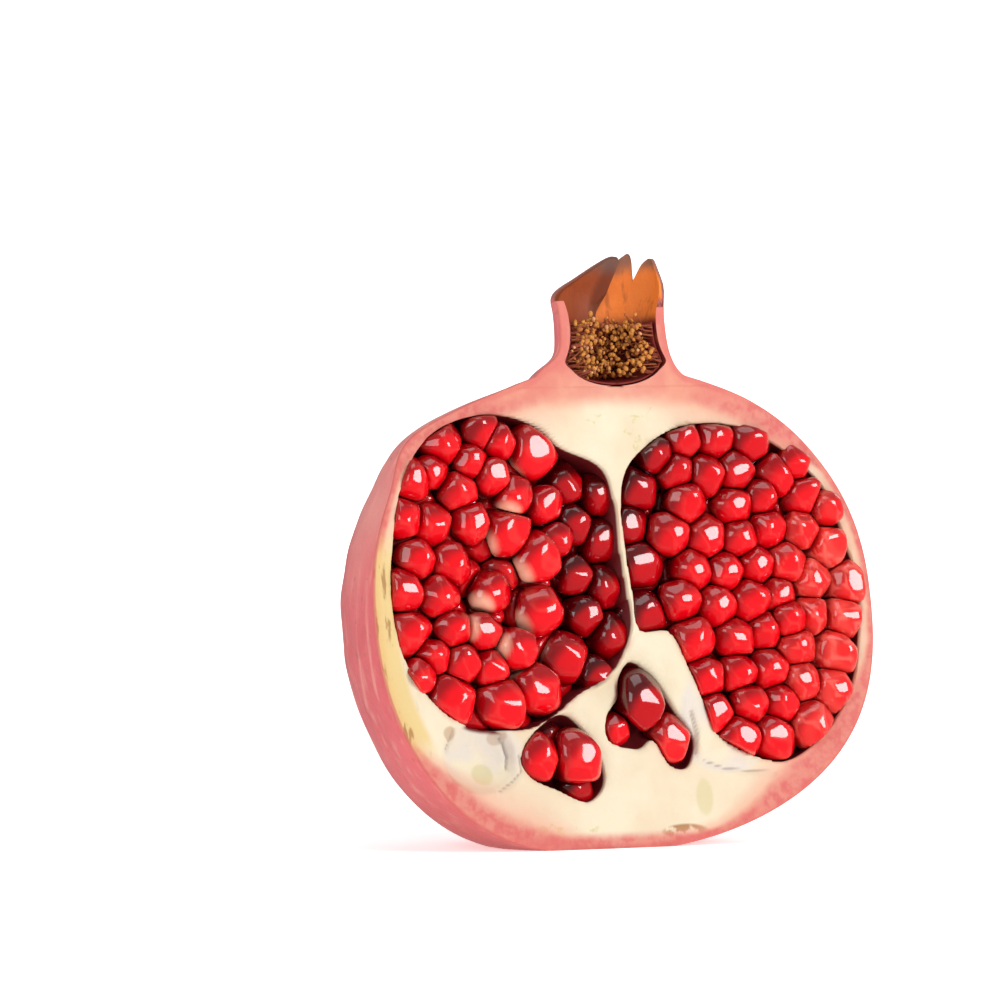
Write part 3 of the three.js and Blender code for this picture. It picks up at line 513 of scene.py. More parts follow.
@dataclass(frozen=True)
class Husk:
    """Skin, pith, partitions and crown in one closed surface, a grid of rings that rise up the fruit."""

    form: FruitForm = FORM
    wall_columns: int = 50
    crown_start: float = 46.0
    dent: tuple[float, float, float, float, float] = (-31.4, -24.6, 8.0, 6.4, 3.0)
    creases: tuple[tuple[float, float, tuple[tuple[float, float], ...]], ...] = (
        (0.9, 0.35, ((-36.3, -19.3), (-36.9, -21.1), (-37.9, -23.1))),
        (-0.8, 0.7, ((-29.6, -19.6), (-27.8, -19.5), (-26.1, -20.7), (-24.7, -22.9), (-24.2, -25.2))),
        (0.7, 0.35, ((-27.0, -21.0), (-26.0, -22.6), (-25.4, -24.6), (-25.9, -26.8))),
        (0.6, 0.3, ((-23.9, -24.4), (-23.5, -27.3), (-25.6, -29.2), (-28.4, -30.9))),
        (-0.7, 1.1, ((8.3, -7.6), (10.2, -11.6), (12.0, -15.8), (13.3, -20.4), (13.2, -24.4))),
        (0.6, 0.6, ((11.6, -18.0), (12.4, -21.6), (12.0, -25.2))),
        (0.5, 0.35, ((13.5, -26.6), (17.5, -28.0), (22.5, -28.6), (28.0, -28.9))),
    )

    def heights(self) -> Array:
        """Heights of the rings below the crown, closest at the base and round the cup's floor."""
        low = -self.form.base * np.cos(np.linspace(0.03, math.pi / 2, 90))
        floor = self.form.cup_floor + np.array([0.02, 0.1, 0.25, 0.5, 0.85, 1.25, 1.7])
        neck = np.linspace(42.0, self.crown_start, 15)
        return np.concatenate([low, np.linspace(0.5, 34.0, 72), np.linspace(34.4, 39.9, 15), floor, neck])

    def turns(self) -> Array:
        """Angles of the columns round the back, closest at the slit between the middle and the left sepal."""
        spans = ((0, 46.5, 31), (46.5, 84.5, 30), (84.5, 92, 10), (92, 180, 50))
        return np.concatenate([np.linspace(a, b, n)[:-1] for a, b, n in spans] + [[180.0]])

    def rim(self) -> Array:
        """The fruit's outline in the cut plane as a polygon."""
        v = np.concatenate([-self.form.base * np.cos(np.linspace(0, math.pi / 2, 50)), np.linspace(1, 52, 60)])
        middle, radius = self.form.middle_line(v), self.form.husk_radius(v)
        right = np.stack([middle + radius * self.form.ribs(0.0, v), v], axis=1)
        left = np.stack([middle - radius * self.form.ribs(180.0, v), v], axis=1)
        return np.concatenate([right, left[::-1]])

    def depth(self, u: Array, v: Array) -> Array:
        """Depth of the cut surface: flat pith, hollowed steeply inside each chamber's outline.

        Args:
            u: Places across.
            v: Places up.

        Returns:
            Millimetres behind the cut plane at each place.
        """
        places = np.stack([u, 0 * u, v], axis=-1)
        deep = 0.16 + 0.10 * ripple(places, 9.0, 3) + 0.05 * ripple(places, 3.0, 4)
        for chamber in LARGE + SMALL:
            gap = outline_distance(chamber.polygon(), u, v)
            inward = np.clip(-gap / 4.5, 0.0, 1.0)
            hollow = chamber.floor * (1 - (1 - inward) ** 2.2) ** (1 / 2.2)
            deep = np.maximum(deep, hollow) + 0.3 * np.exp(-np.abs(gap) / 0.7)
        x, z, across, high, down = self.dent
        bowl = np.clip(1 - ((u - x) / across) ** 2 - ((v - z) / high) ** 2, 0, 1)
        deep = np.maximum(deep, deep + down * bowl**0.8)
        soft = 1.3 * np.exp(-(((u + 4.5) / 4.0) ** 2) - ((v + 13.8) / 3.0) ** 2)
        for drop, width, path in self.creases:
            soft = soft + drop * np.exp(-((path_distance(path, u, v) / width) ** 2))
        return deep + np.maximum(soft, 0.05 - deep)

    @staticmethod
    def gathered(u: Array, v: Array) -> tuple[Array, Array]:
        """Draw places near a chamber's outline towards it, so that its edge is finely followed.

        Args:
            u: Places across.
            v: Places up.

        Returns:
            The moved places.
        """
        for chamber in LARGE + SMALL:
            gap, x, z = outline_way(chamber.polygon(), u, v)
            pull = 0.85 * np.exp(-((gap / 1.1) ** 2))
            u, v = u + pull * x, v + pull * z
        return u, v

    def ring(self, v: Array, crown: bool) -> tuple[Array, Array, Array]:
        """Work out rings of the husk.

        The skin is an arc round the back. The cut surface runs from rim to rim in three spans, of which the
        middle one is the cup's inner wall above the cup's floor.

        Args:
            v: Height of each ring below the crown, or in the crown the share of the way up to the sepals' edge.
            crown: Whether the rings are the crown's.

        Returns:
            The points (rings, columns, 3), the kind of each column, and its angle in degrees.
        """
        form = self.form
        skin = self.turns()
        cup = skin[::-1]
        side = np.linspace(0, 1, self.wall_columns + 2)[1:-1]
        turn = np.concatenate([skin, np.full(self.wall_columns + 2, 180.0), cup, np.zeros(self.wall_columns + 2)])
        if crown:
            height = mix(self.crown_start, form.crown_edge(turn)[None, :], v[:, None])
            outer, inner = form.crown_radius(height) * form.ribs(turn, height), form.cup_radius(height)
        else:
            height = np.repeat(v[:, None], len(turn), axis=1)
            outer = form.husk_radius(height) * form.ribs(turn, height)
            wide = mix(0.52 * outer, 2.4, smooth(height, 28, 39.9))
            inner = np.where(height < form.cup_floor, wide, form.cup_radius(height))
        bevel = np.minimum(0.45, 0.3 * (outer - inner))
        flat = 1 - smooth(height, 28, 39.9)
        angle = np.radians(turn)[None, :]
        n, w, c = len(skin), self.wall_columns, len(cup)
        x = np.empty_like(height)
        y = np.zeros_like(height)
        start = np.arcsin(np.clip(bevel[:, :n] / outer[:, :n], 0, 1))
        arc = start + (math.pi - 2 * start) * (skin / 180)[None, :]
        x[:, :n] = outer[:, :n] * np.cos(arc)
        y[:, :n] = outer[:, :n] * np.sin(arc)
        for sign, first in ((-1.0, n), (1.0, n + w + 2 + c)):
            span = slice(first, first + w + 2)
            share = side[None, :] if sign < 0 else side[None, ::-1]
            edge, near, round_ = outer[:, span], inner[:, span], bevel[:, span]
            body = mix(edge[:, 2:] - round_[:, 2:], near[:, 2:], share)
            corner = np.stack([edge[:, 0] - 0.08 * round_[:, 0], edge[:, 0] - 0.45 * round_[:, 0]], axis=1)
            drop = np.stack([0.5 * round_[:, 0], 0.1 * round_[:, 0]], axis=1)
            if sign < 0:
                x[:, span] = -np.concatenate([corner, body], axis=1)
                y[:, span] = np.concatenate([drop, 0 * body], axis=1)
            else:
                x[:, span] = np.concatenate([body, corner[:, ::-1]], axis=1)
                y[:, span] = np.concatenate([0 * body, drop[:, ::-1]], axis=1)
        mid = slice(n + w + 2, n + w + 2 + c)
        even = np.linspace(-1, 1, c)[None, :]
        x[:, mid] = inner[:, mid] * mix(np.cos(angle[:, mid]), even, flat[:, mid])
        bowl = height[:, mid] >= form.cup_floor
        y[:, mid] = np.where(bowl, inner[:, mid] * np.sin(angle[:, mid]), 0.0)
        kind = np.full(len(turn), Wrap.CUT.value)
        kind[:n] = Wrap.SKIN.value
        kind[mid] = Wrap.CUP.value
        x = x + form.middle_line(height)
        y = y * form.flatness(height)
        if crown:
            shift, forward = form.bend(turn[None, :], height)
            x, y = x + shift, y + forward
        return np.stack([x, y, height], axis=-1), kind, turn

    def build(self) -> bpy.types.Object:
        """Make the husk: rings, closed at the base on one point and at the sepals' edge with a strip."""
        body, kind, turn = self.ring(self.heights(), crown=False)
        crown, _, _ = self.ring(np.linspace(0, 1, 44)[1:], crown=True)
        grid = np.concatenate([body, crown])
        flat_face = (kind != Wrap.SKIN.value)[None, :] & (grid[..., 2] < self.form.cup_floor)
        u, v = grid[..., 0], grid[..., 2]
        u[flat_face], v[flat_face] = self.gathered(u[flat_face], v[flat_face])
        deep = self.depth(u[flat_face], v[flat_face])
        rim_gap = -outline_distance(self.rim(), u[flat_face], v[flat_face])
        grid[..., 1][flat_face] += deep * smooth(rim_gap, 0.1, 1.0)
        skin = np.broadcast_to((kind == Wrap.SKIN.value)[None, :], u.shape)
        grid = self.dimple(grid, skin)
        rows, columns = u.shape
        points = np.concatenate([grid.reshape(-1, 3), [[self.form.base_shift, 0.0, -self.form.base]]])
        faces = grid_faces(rows, columns).tolist()
        faces += [[len(points) - 1, (j + 1) % columns, j] for j in range(columns)]
        faces += self.sepal_edge((rows - 1) * columns)
        marks = self.marks(grid, kind, turn)
        hollow = np.zeros_like(u)
        hollow[flat_face] = deep
        marks["hollow"] = np.append(hollow.ravel(), 0.0)
        # Mark for painted shade along the creases' grooves; the raised creases get almost none.
        painted_crease_shade = np.full(u.shape, np.inf)
        for drop, width, path in self.creases:
            painted_crease_shade = np.minimum(painted_crease_shade, path_distance(path, u, v) / width + (2.0 if drop < 0 else 0.0))
        marks["painted_crease_shade"] = np.append(np.exp(-(painted_crease_shade.ravel() ** 2)), 0.0)
        return make_piece("husk_flesh", points, faces, marks)

    def dimple(self, grid: Array, skin: Array) -> Array:
        """Press shallow waves into the skin, none at the rim of the cut."""
        out = grid.copy()
        inset = smooth(grid[..., 1], 0.5, 8.0) * skin
        wave = 0.35 * ripple(grid, 26.0, 8) + 0.12 * ripple(grid, 9.0, 9)
        middle = self.form.middle_line(grid[..., 2])
        away = np.stack([grid[..., 0] - middle, grid[..., 1], 0.5 * grid[..., 2]], axis=-1)
        away /= np.linalg.norm(away, axis=-1, keepdims=True) + 1e-6
        out += away * (wave * inset)[..., None]
        return out

    def sepal_edge(self, first: int) -> list[list[int]]:
        """Faces of the strip between the crown's outer and inner wall along the sepals' edge.

        Args:
            first: Index of the top ring's first point.

        Returns:
            One quad for each step round the crown, and one longer face at each cut end.
        """
        n, w = len(self.turns()), self.wall_columns + 2
        c = n
        outer = first + n - 1 - np.arange(c)
        inner = first + n + w + np.arange(c)
        faces = []
        for j in range(c - 1):
            ring = [outer[j], outer[j + 1], inner[j + 1], inner[j]]
            if j == 0:
                ring = [outer[0], outer[1], inner[1], inner[0]] + list(range(first + n + w - 1, first + n - 1, -1))
            elif j == c - 2:
                ring = [outer[j], outer[j + 1]] + list(range(first + n + 2 * w + c - 1, first + n + w + c - 1, -1))
                ring += [inner[j + 1], inner[j]]
            faces.append([int(i) for k, i in enumerate(ring) if i not in ring[:k]])
        return faces

    def marks(self, grid: Array, kind: Array, turn: Array) -> dict[str, Array]:
        """Values that the finish reads at each point: where it is, and how near it is to the rim and the seeds."""
        u, v = grid[..., 0], grid[..., 2]
        cut = np.broadcast_to((kind != Wrap.SKIN.value).astype(float)[None, :], u.shape)
        cup = np.broadcast_to((kind == Wrap.CUP.value)[None, :], u.shape) & (v >= self.form.cup_floor)
        near = np.minimum.reduce([outline_distance(c.polygon(), u.ravel(), v.ravel()) for c in LARGE + SMALL])
        rim = -outline_distance(self.rim(), u.ravel(), v.ravel())
        values = {
            "cut": cut.ravel(),
            "cup": cup.astype(float).ravel(),
            "across": u.ravel(),
            "up": v.ravel(),
            "seed_gap": near,
            "rim_gap": np.where(v.ravel() > 52, 0.0, rim),
            "turn": np.broadcast_to(turn[None, :], u.shape).ravel(),
        }
        last = {"cut": 0.0, "cup": 0.0, "across": self.form.base_shift, "up": -self.form.base}
        return {key: np.append(value, last.get(key, 0.0)) for key, value in values.items()}


@dataclass(frozen=True)
class ArilPack:
    """The arils of one chamber: drops pressed flat by their neighbours, by the wall, and by facets of their own."""

    chamber: Chamber
    long: float = 5.3
    wide: float = 4.4
    sharp: float = 22.0
    glint: tuple[float, float, float] = (-0.01, 0.10, -0.995)
    rows: int = 28
    columns: int = 34

    def arils(self) -> list[Aril]:
        """All arils of the chamber: those at the cut face, and a second layer behind them."""
        chamber = self.chamber
        draw = np.random.default_rng(chamber.seed)
        # For listed arils the last value is the tint, with painted shade on the darkest ones.
        if chamber.listed:
            return [
                Aril(np.array([u, v, d]), self.unit(x, z, y), size, 0.0, tone, True)
                for u, v, d, x, z, y, size, tone in chamber.arils
            ]
        front = [self.front_aril(item, draw) for item in chamber.arils]
        return front + self.second_layer(draw)

    @staticmethod
    def unit(u: float, v: float, depth: float) -> Array:
        """A unit direction in u, v and depth."""
        way = np.array([u, v, depth], float)
        return way / np.linalg.norm(way)

    def front_aril(self, item: tuple[float, ...], draw: np.random.Generator) -> Aril:
        """Set one aril of the cut face, whose front stands at the chamber's recess."""
        u, v, size, lean, heading = item
        tilt, way = lean * math.pi / 2, math.radians(heading)
        side = math.sin(tilt)
        reach = size * math.hypot(self.long * math.cos(tilt), self.wide * side)
        depth = self.chamber.recess(u) + reach + 0.9 * (draw.random() - 0.5)
        tip = self.unit(side * math.cos(way), side * math.sin(way), -math.cos(tilt))
        # Tint by place, which is painted shade and painted light, plus a small random difference.
        tone = self.chamber.tone(u, v) + 0.22 * (draw.random() - 0.5)
        return Aril(np.array([u, v, depth]), tip, size, min(lean, 1.0), tone, True)

    def second_layer(self, draw: np.random.Generator) -> list[Aril]:
        """A lattice of arils behind the front ones, which shows only in the gaps between them."""
        polygon = self.chamber.polygon()
        low, high = polygon.min(axis=0), polygon.max(axis=0)
        found = []
        for row, v in enumerate(np.arange(low[1] + 3, high[1] - 2, 6.2)):
            for u in np.arange(low[0] + 3 + 3.6 * (row % 2), high[0] - 2, 7.2):
                gap = outline_distance(polygon, np.array([u]), np.array([v]))[0]
                if gap > -2.6:
                    continue
                depth = self.chamber.recess(u) + 4.2 + 4.6
                tip = self.unit(*(draw.random(2) - 0.5), -1.0)
                # The layer behind is 0.35 darker: painted shade in the gaps between the front arils.
                tone = self.chamber.tone(u, v) - 0.35
                found.append(Aril(np.array([u, v, depth]), tip, 1.05, 0.0, tone, False))
        return found

    def directions(self) -> Array:
        """Unit directions on a grid of a ball, its poles to the left and right where neighbours hide them."""
        lat = np.linspace(0, math.pi, self.rows)[1:-1, None]
        lon = np.linspace(0, 2 * math.pi, self.columns, endpoint=False)[None, :]
        ring = np.stack([np.cos(lat) + 0 * lon, np.sin(lat) * np.cos(lon), np.sin(lat) * np.sin(lon)], axis=-1)
        return np.concatenate([ring.reshape(-1, 3), [[1.0, 0, 0], [-1.0, 0, 0]]])

    def faces(self, start: int) -> list[list[int]]:
        """Faces of one aril's grid, closed at both poles, from its first point's index."""
        rings = self.rows - 2
        last = start + rings * self.columns
        k = np.arange(self.columns)
        after = (k + 1) % self.columns
        top = np.stack([np.full(len(k), last), start + after, start + k], axis=1)
        base = start + (rings - 1) * self.columns
        bottom = np.stack([np.full(len(k), last + 1), base + k, base + after], axis=1)
        return grid_faces(rings, self.columns, start).tolist() + top.tolist() + bottom.tolist()

    def facets(self, aril: Aril, draw: np.random.Generator) -> tuple[Array, Array]:
        """The aril's own flat facets: one across the tip, a ring round it, and a ring round the sides.

        Args:
            aril: The aril.
            draw: Source of the small differences between arils.

        Returns:
            The facets' outward directions and their distances from the middle.
        """
        helper = np.array([0.0, 1.0, 0.0]) if abs(aril.tip[1]) < 0.8 else np.array([1.0, 0.0, 0.0])
        side = np.cross(aril.tip, helper)
        side /= np.linalg.norm(side)
        other = np.cross(aril.tip, side)
        tilts = np.radians(np.concatenate([[11 * draw.random()], draw.uniform(38, 56, 5), draw.uniform(80, 100, 5)]))
        turns = np.concatenate([[0.0], np.arange(5) * 1.2566, np.arange(5) * 1.2566 + 0.6])
        turns = turns + draw.uniform(0, 6.28) + 0.5 * draw.uniform(-1, 1, 11)
        normals = np.cos(tilts)[:, None] * aril.tip + np.sin(tilts)[:, None] * (
            np.cos(turns)[:, None] * side + np.sin(turns)[:, None] * other
        )
        normals[0] = self.window(aril, draw)
        along = normals @ aril.tip
        support = np.sqrt((self.long * along) ** 2 + self.wide**2 * (1 - along**2)) * aril.size
        return normals, support * np.append(draw.uniform(0.81, 0.90), draw.uniform(0.85, 0.93, 10))

    def window(self, aril: Aril, draw: np.random.Generator) -> Array:
        """Direction of the large front facet, which on about half of the arils mirrors the main lamp."""
        lit = draw.random() < mix(0.45, 0.2, aril.lying)
        turn = draw.uniform(0, 2 * math.pi)
        tilt = math.radians(draw.uniform(0, 2.5) if lit else draw.uniform(13, 24))
        glint = self.unit(*self.glint)
        side = np.cross(glint, [0.0, 1.0, 0.0])
        side /= np.linalg.norm(side)
        other = np.cross(glint, side)
        return math.cos(tilt) * glint + math.sin(tilt) * (math.cos(turn) * side + math.sin(turn) * other)

    def surface(self, aril: Aril, arils: list[Aril], ways: Array, draw: np.random.Generator) -> dict[str, Array]:
        """Work out one aril's points.

        The reach in each direction is the inverse of a high-power sum: of the drop's own inverse reach and of
        the share of the way to every plane that presses on it.

        Args:
            aril: The aril.
            arils: All arils of the chamber.
            ways: Unit directions in u, v and depth.
            draw: Source of the small differences between arils.

        Returns:
            The points, and the marks at each.
        """
        normals, distances = self.facets(aril, draw)
        others = np.array([a.at for a in arils if a is not aril])
        sizes = np.array([a.size for a in arils if a is not aril])
        away = others - aril.at
        gaps = np.linalg.norm(away, axis=1)
        close = gaps < 13
        normals = np.concatenate([normals, (away / gaps[:, None])[close]])
        share = 0.975 * gaps[close] * aril.size / (aril.size + sizes[close])
        distances = np.concatenate([distances, share])
        gap, x, z = (float(part[0]) for part in outline_way(self.chamber.polygon(), *aril.at[:2, None]))
        way = -1.0 if gap > 0 else 1.0
        normals = np.concatenate([normals, [[way * x / abs(gap), way * z / abs(gap), 0.0]]])
        distances = np.append(distances, max(-gap - 0.25, 2.2))
        along = ways @ aril.tip
        wide = self.wide * aril.size * (1 + 0.13 * along)
        drop = np.sqrt((along / (self.long * aril.size)) ** 2 + (1 - along**2) / wide**2)
        terms = np.concatenate([drop[:, None], np.clip(ways @ normals.T, 0, None) / distances], axis=1)
        total = (terms**self.sharp).sum(axis=1) ** (1 / self.sharp)
        points = aril.at + ways / total[:, None]
        pale = smooth(-along, 0.74, 0.97) * smooth(aril.lying, 0.45, 0.9)
        # Painted highlight mark: near 1 along the edges where two facets or planes meet.
        painted_ridge_highlight = np.clip((1 - terms.max(axis=1) / total) / (1 - 0.5 ** (1 / self.sharp)), 0, 1)
        return {
            "points": points[:, [0, 2, 1]],
            "pale": pale,
            "painted_ridge_highlight": painted_ridge_highlight,
            "tone": np.full(len(ways), aril.tone),
            # Painted shade mark: 1 where the surface turns sideways or back from the cut face, 0 where it faces front.
            "painted_flank_shade": 1 - smooth(-ways[:, 2], 0.05, 0.8),
            # Painted glow mark: highest on the side that faces right, down and to the front.
            "glow": smooth(ways @ self.unit(0.25, -0.62, -0.75), 0.1, 0.98),
            "ring": smooth(along, 0.45, 0.7) * (1 - smooth(along, 0.78, 0.92)),
        }

    def build(self) -> bpy.types.Object:
        """Make the chamber's arils as one piece."""
        arils = self.arils()
        draw = np.random.default_rng(self.chamber.seed + 100)
        ways = self.directions()
        made = [self.surface(aril, arils, ways, draw) for aril in arils]
        faces = [f for i in range(len(made)) for f in self.faces(i * len(ways))]
        joined = {key: np.concatenate([m[key] for m in made]) for key in made[0]}
        points = joined.pop("points")
        return make_piece(f"arils_{self.chamber.name}_seeds", points, faces, joined)


@dataclass(frozen=True)
class StamenCup:
    """The dried stamens: bent threads from the cup's wall, each with a small anther, on a thin lining."""

    form: FruitForm = FORM
    count: int = 420
    low: float = 41.0
    high: float = 51.2
    thread: float = 0.17
    lining: float = 0.3
    gap: float = 0.25

    def lining_grid(self) -> tuple[Array, list[list[int]]]:
        """The lining: a cup of two skins, its cut edges and lip closed."""
        heights = self.form.cup_floor + np.concatenate([[0.02, 0.15, 0.5, 1.1, 2.0, 3.2], np.linspace(4.5, 11.4, 12)])
        turn = np.linspace(5.0, 175.0, 48)
        rows = []
        for inset in (self.gap, self.gap + self.lining):
            radius = np.maximum(self.form.cup_radius(heights) - inset, 0.02)[:, None]
            height = heights[:, None] + inset * np.exp(-(heights[:, None] - self.form.cup_floor) / 1.5)
            middle, deep = self.form.middle_line(height), radius * self.form.flatness(height)
            angle = np.radians(turn)[None, :]
            rows.append(
                np.stack([middle + radius * np.cos(angle), deep * np.sin(angle) + 0.05, height + 0 * angle], axis=-1)
            )
        outer, inner = rows
        ring = np.concatenate([outer, inner[:, ::-1]], axis=1)
        n, m = ring.shape[:2]
        faces = grid_faces(n, m).tolist()
        half = m // 2
        for first in (0, (n - 1) * m):
            faces += [[first + j, first + m - 1 - j, first + m - 2 - j, first + j + 1] for j in range(half - 1)]
        faces = [f if i < (n - 1) * m + half - 1 else f[::-1] for i, f in enumerate(faces)]
        return ring.reshape(-1, 3), faces

    def threads(self) -> tuple[Array, list[list[int]], Array]:
        """All threads as square tubes along bent spines, and all anthers as small beans.

        Returns:
            Points, faces and a tint for each point.
        """
        draw = np.random.default_rng(17)
        n = self.count
        turn = np.radians(draw.uniform(4, 176, n))
        v = draw.uniform(self.low + 0.8, self.high, n)
        radius = np.maximum(self.form.cup_radius(v) - self.gap - self.lining, 1.0)
        length = draw.uniform(1.0, 4.4, n) * np.clip(radius / 8, 0.3, 1)
        swing, rise = draw.uniform(-0.45, 0.45, n), draw.uniform(-0.3, 2.2, n)
        t = np.linspace(0, 1, 5)[None, :]
        r = radius[:, None] - length[:, None] * t
        angle = turn[:, None] + swing[:, None] * t
        height = v[:, None] + rise[:, None] * t**2
        middle, deep = self.form.middle_line(height), r * self.form.flatness(height)
        spine = np.stack([middle + r * np.cos(angle), np.maximum(deep * np.sin(angle), 0.5), height], axis=-1)
        side = np.stack([-np.sin(angle), np.cos(angle), 0 * angle], axis=-1)
        up = np.zeros_like(side)
        up[..., 2] = 1.0
        thick = (self.thread * (1.2 - 0.5 * t))[..., None, None]
        corners = np.array([[1, 0], [0, 1], [-1, 0], [0, -1]], float)
        tube = spine[:, :, None, :] + thick * (
            corners[None, None, :, :1] * side[:, :, None, :] + corners[None, None, :, 1:] * up[:, :, None, :]
        )
        points = tube.reshape(-1, 3)
        faces = []
        for i in range(n):
            base = i * 20
            faces += grid_faces(5, 4, base).tolist()
            faces += [[base + 3, base + 2, base + 1, base], [base + 16, base + 17, base + 18, base + 19]]
        tint = np.repeat(draw.uniform(0.0, 0.22, n), 20)
        beans, bean_faces, bean_tint = self.beans(spine[:, -1], draw, len(points))
        return np.concatenate([points, beans]), faces + bean_faces, np.concatenate([tint, bean_tint])

    def beans(self, at: Array, draw: np.random.Generator, start: int) -> tuple[Array, list[list[int]], Array]:
        """Anthers: small balls of 6 by 5, stretched and turned each its own way."""
        n = len(at)
        lat = np.linspace(0, math.pi, 6)[1:-1, None]
        lon = np.linspace(0, 2 * math.pi, 6, endpoint=False)[None, :]
        ring = np.stack([np.sin(lat) * np.cos(lon), np.sin(lat) * np.sin(lon), np.cos(lat) + 0 * lon], axis=-1)
        ball = np.concatenate([ring.reshape(-1, 3), [[0, 0, 1.0], [0, 0, -1.0]]])
        size = draw.uniform(0.24, 0.46, (n, 1)) * np.array([1.0, 0.8, 1.3])
        local = ball[None] * size[:, None, :]
        a, b = draw.uniform(0, math.pi, n), draw.uniform(0, 2 * math.pi, n)
        tall = np.stack([np.sin(a) * np.cos(b), np.sin(a) * np.sin(b), np.cos(a)], axis=1)
        first = np.cross(tall, [0.3, 0.9, 0.2])
        first /= np.linalg.norm(first, axis=1, keepdims=True)
        second = np.cross(tall, first)
        frames = np.stack([first, second, tall], axis=1)
        points = np.einsum("nki,nij->nkj", local, frames) + at[:, None, :]
        points[..., 1] = np.maximum(points[..., 1], 0.08)
        m = len(ball)
        k = np.arange(6)
        faces = []
        for i in range(n):
            base = start + i * m
            faces += grid_faces(4, 6, base).tolist()
            faces += [[base + 24, base + (j + 1) % 6, base + j] for j in k]
            faces += [[base + 25, base + 18 + j, base + 18 + (j + 1) % 6] for j in k]
        tint = np.repeat(draw.uniform(0.2, 0.92, n), m)
        return points.reshape(-1, 3), faces, tint

    def build(self) -> bpy.types.Object:
        """Make the stamens and their lining as one piece."""
        lining, lining_faces = self.lining_grid()
        points, faces, tint = self.threads()
        moved = [[i + len(lining) for i in f] for f in faces]
        all_points = np.concatenate([lining, points])
        marks = {"tint": np.concatenate([np.full(len(lining), -1.0), tint])}
        return make_piece("stamen_cup", all_points, lining_faces + moved, marks)


class Value:
    """A number socket of a shader tree that does arithmetic by adding Math nodes."""

    def __init__(self, sheet: "NodeSheet", socket: bpy.types.NodeSocket) -> None:
        """Wrap a socket of the sheet's tree."""
        self.sheet = sheet
        self.socket = socket

    def math(self, operation: str, *others: Any, swap: bool = False) -> "Value":
        """Add one Math node.

        Args:
            operation: The node's operation.
            others: The other operands.
            swap: Whether this value comes second.

        Returns:
            The node's result.
        """
        operands = [self, *others]
        if swap:
            operands.reverse()
        return self.sheet.add("ShaderNodeMath", {"operation": operation}, dict(enumerate(operands)))

    def __add__(self, other: Any) -> "Value":
        """Sum."""
        return self.math("ADD", other)

    __radd__ = __add__

    def __sub__(self, other: Any) -> "Value":
        """Difference."""
        return self.math("SUBTRACT", other)

    def __rsub__(self, other: Any) -> "Value":
        """Difference with this value second."""
        return self.math("SUBTRACT", other, swap=True)

    def __mul__(self, other: Any) -> "Value":
        """Product."""
        return self.math("MULTIPLY", other)

    __rmul__ = __mul__

    def __truediv__(self, other: Any) -> "Value":
        """Quotient."""
        return self.math("DIVIDE", other)

    def __pow__(self, other: Any) -> "Value":
        """Power."""
        return self.math("POWER", other)

    def limit(self) -> "Value":
        """Keep the value between 0 and 1."""
        return self.math("MAXIMUM", 0.0).math("MINIMUM", 1.0)

    def ease(self, low: float, high: float) -> "Value":
        """Ease from 0 at low to 1 at high; a high below low eases down."""
        settings = {"interpolation_type": "SMOOTHSTEP"}
        if high > low:
            return self.sheet.add("ShaderNodeMapRange", settings, {"Value": self, "From Min": low, "From Max": high})
        return 1.0 - self.ease(high, low)


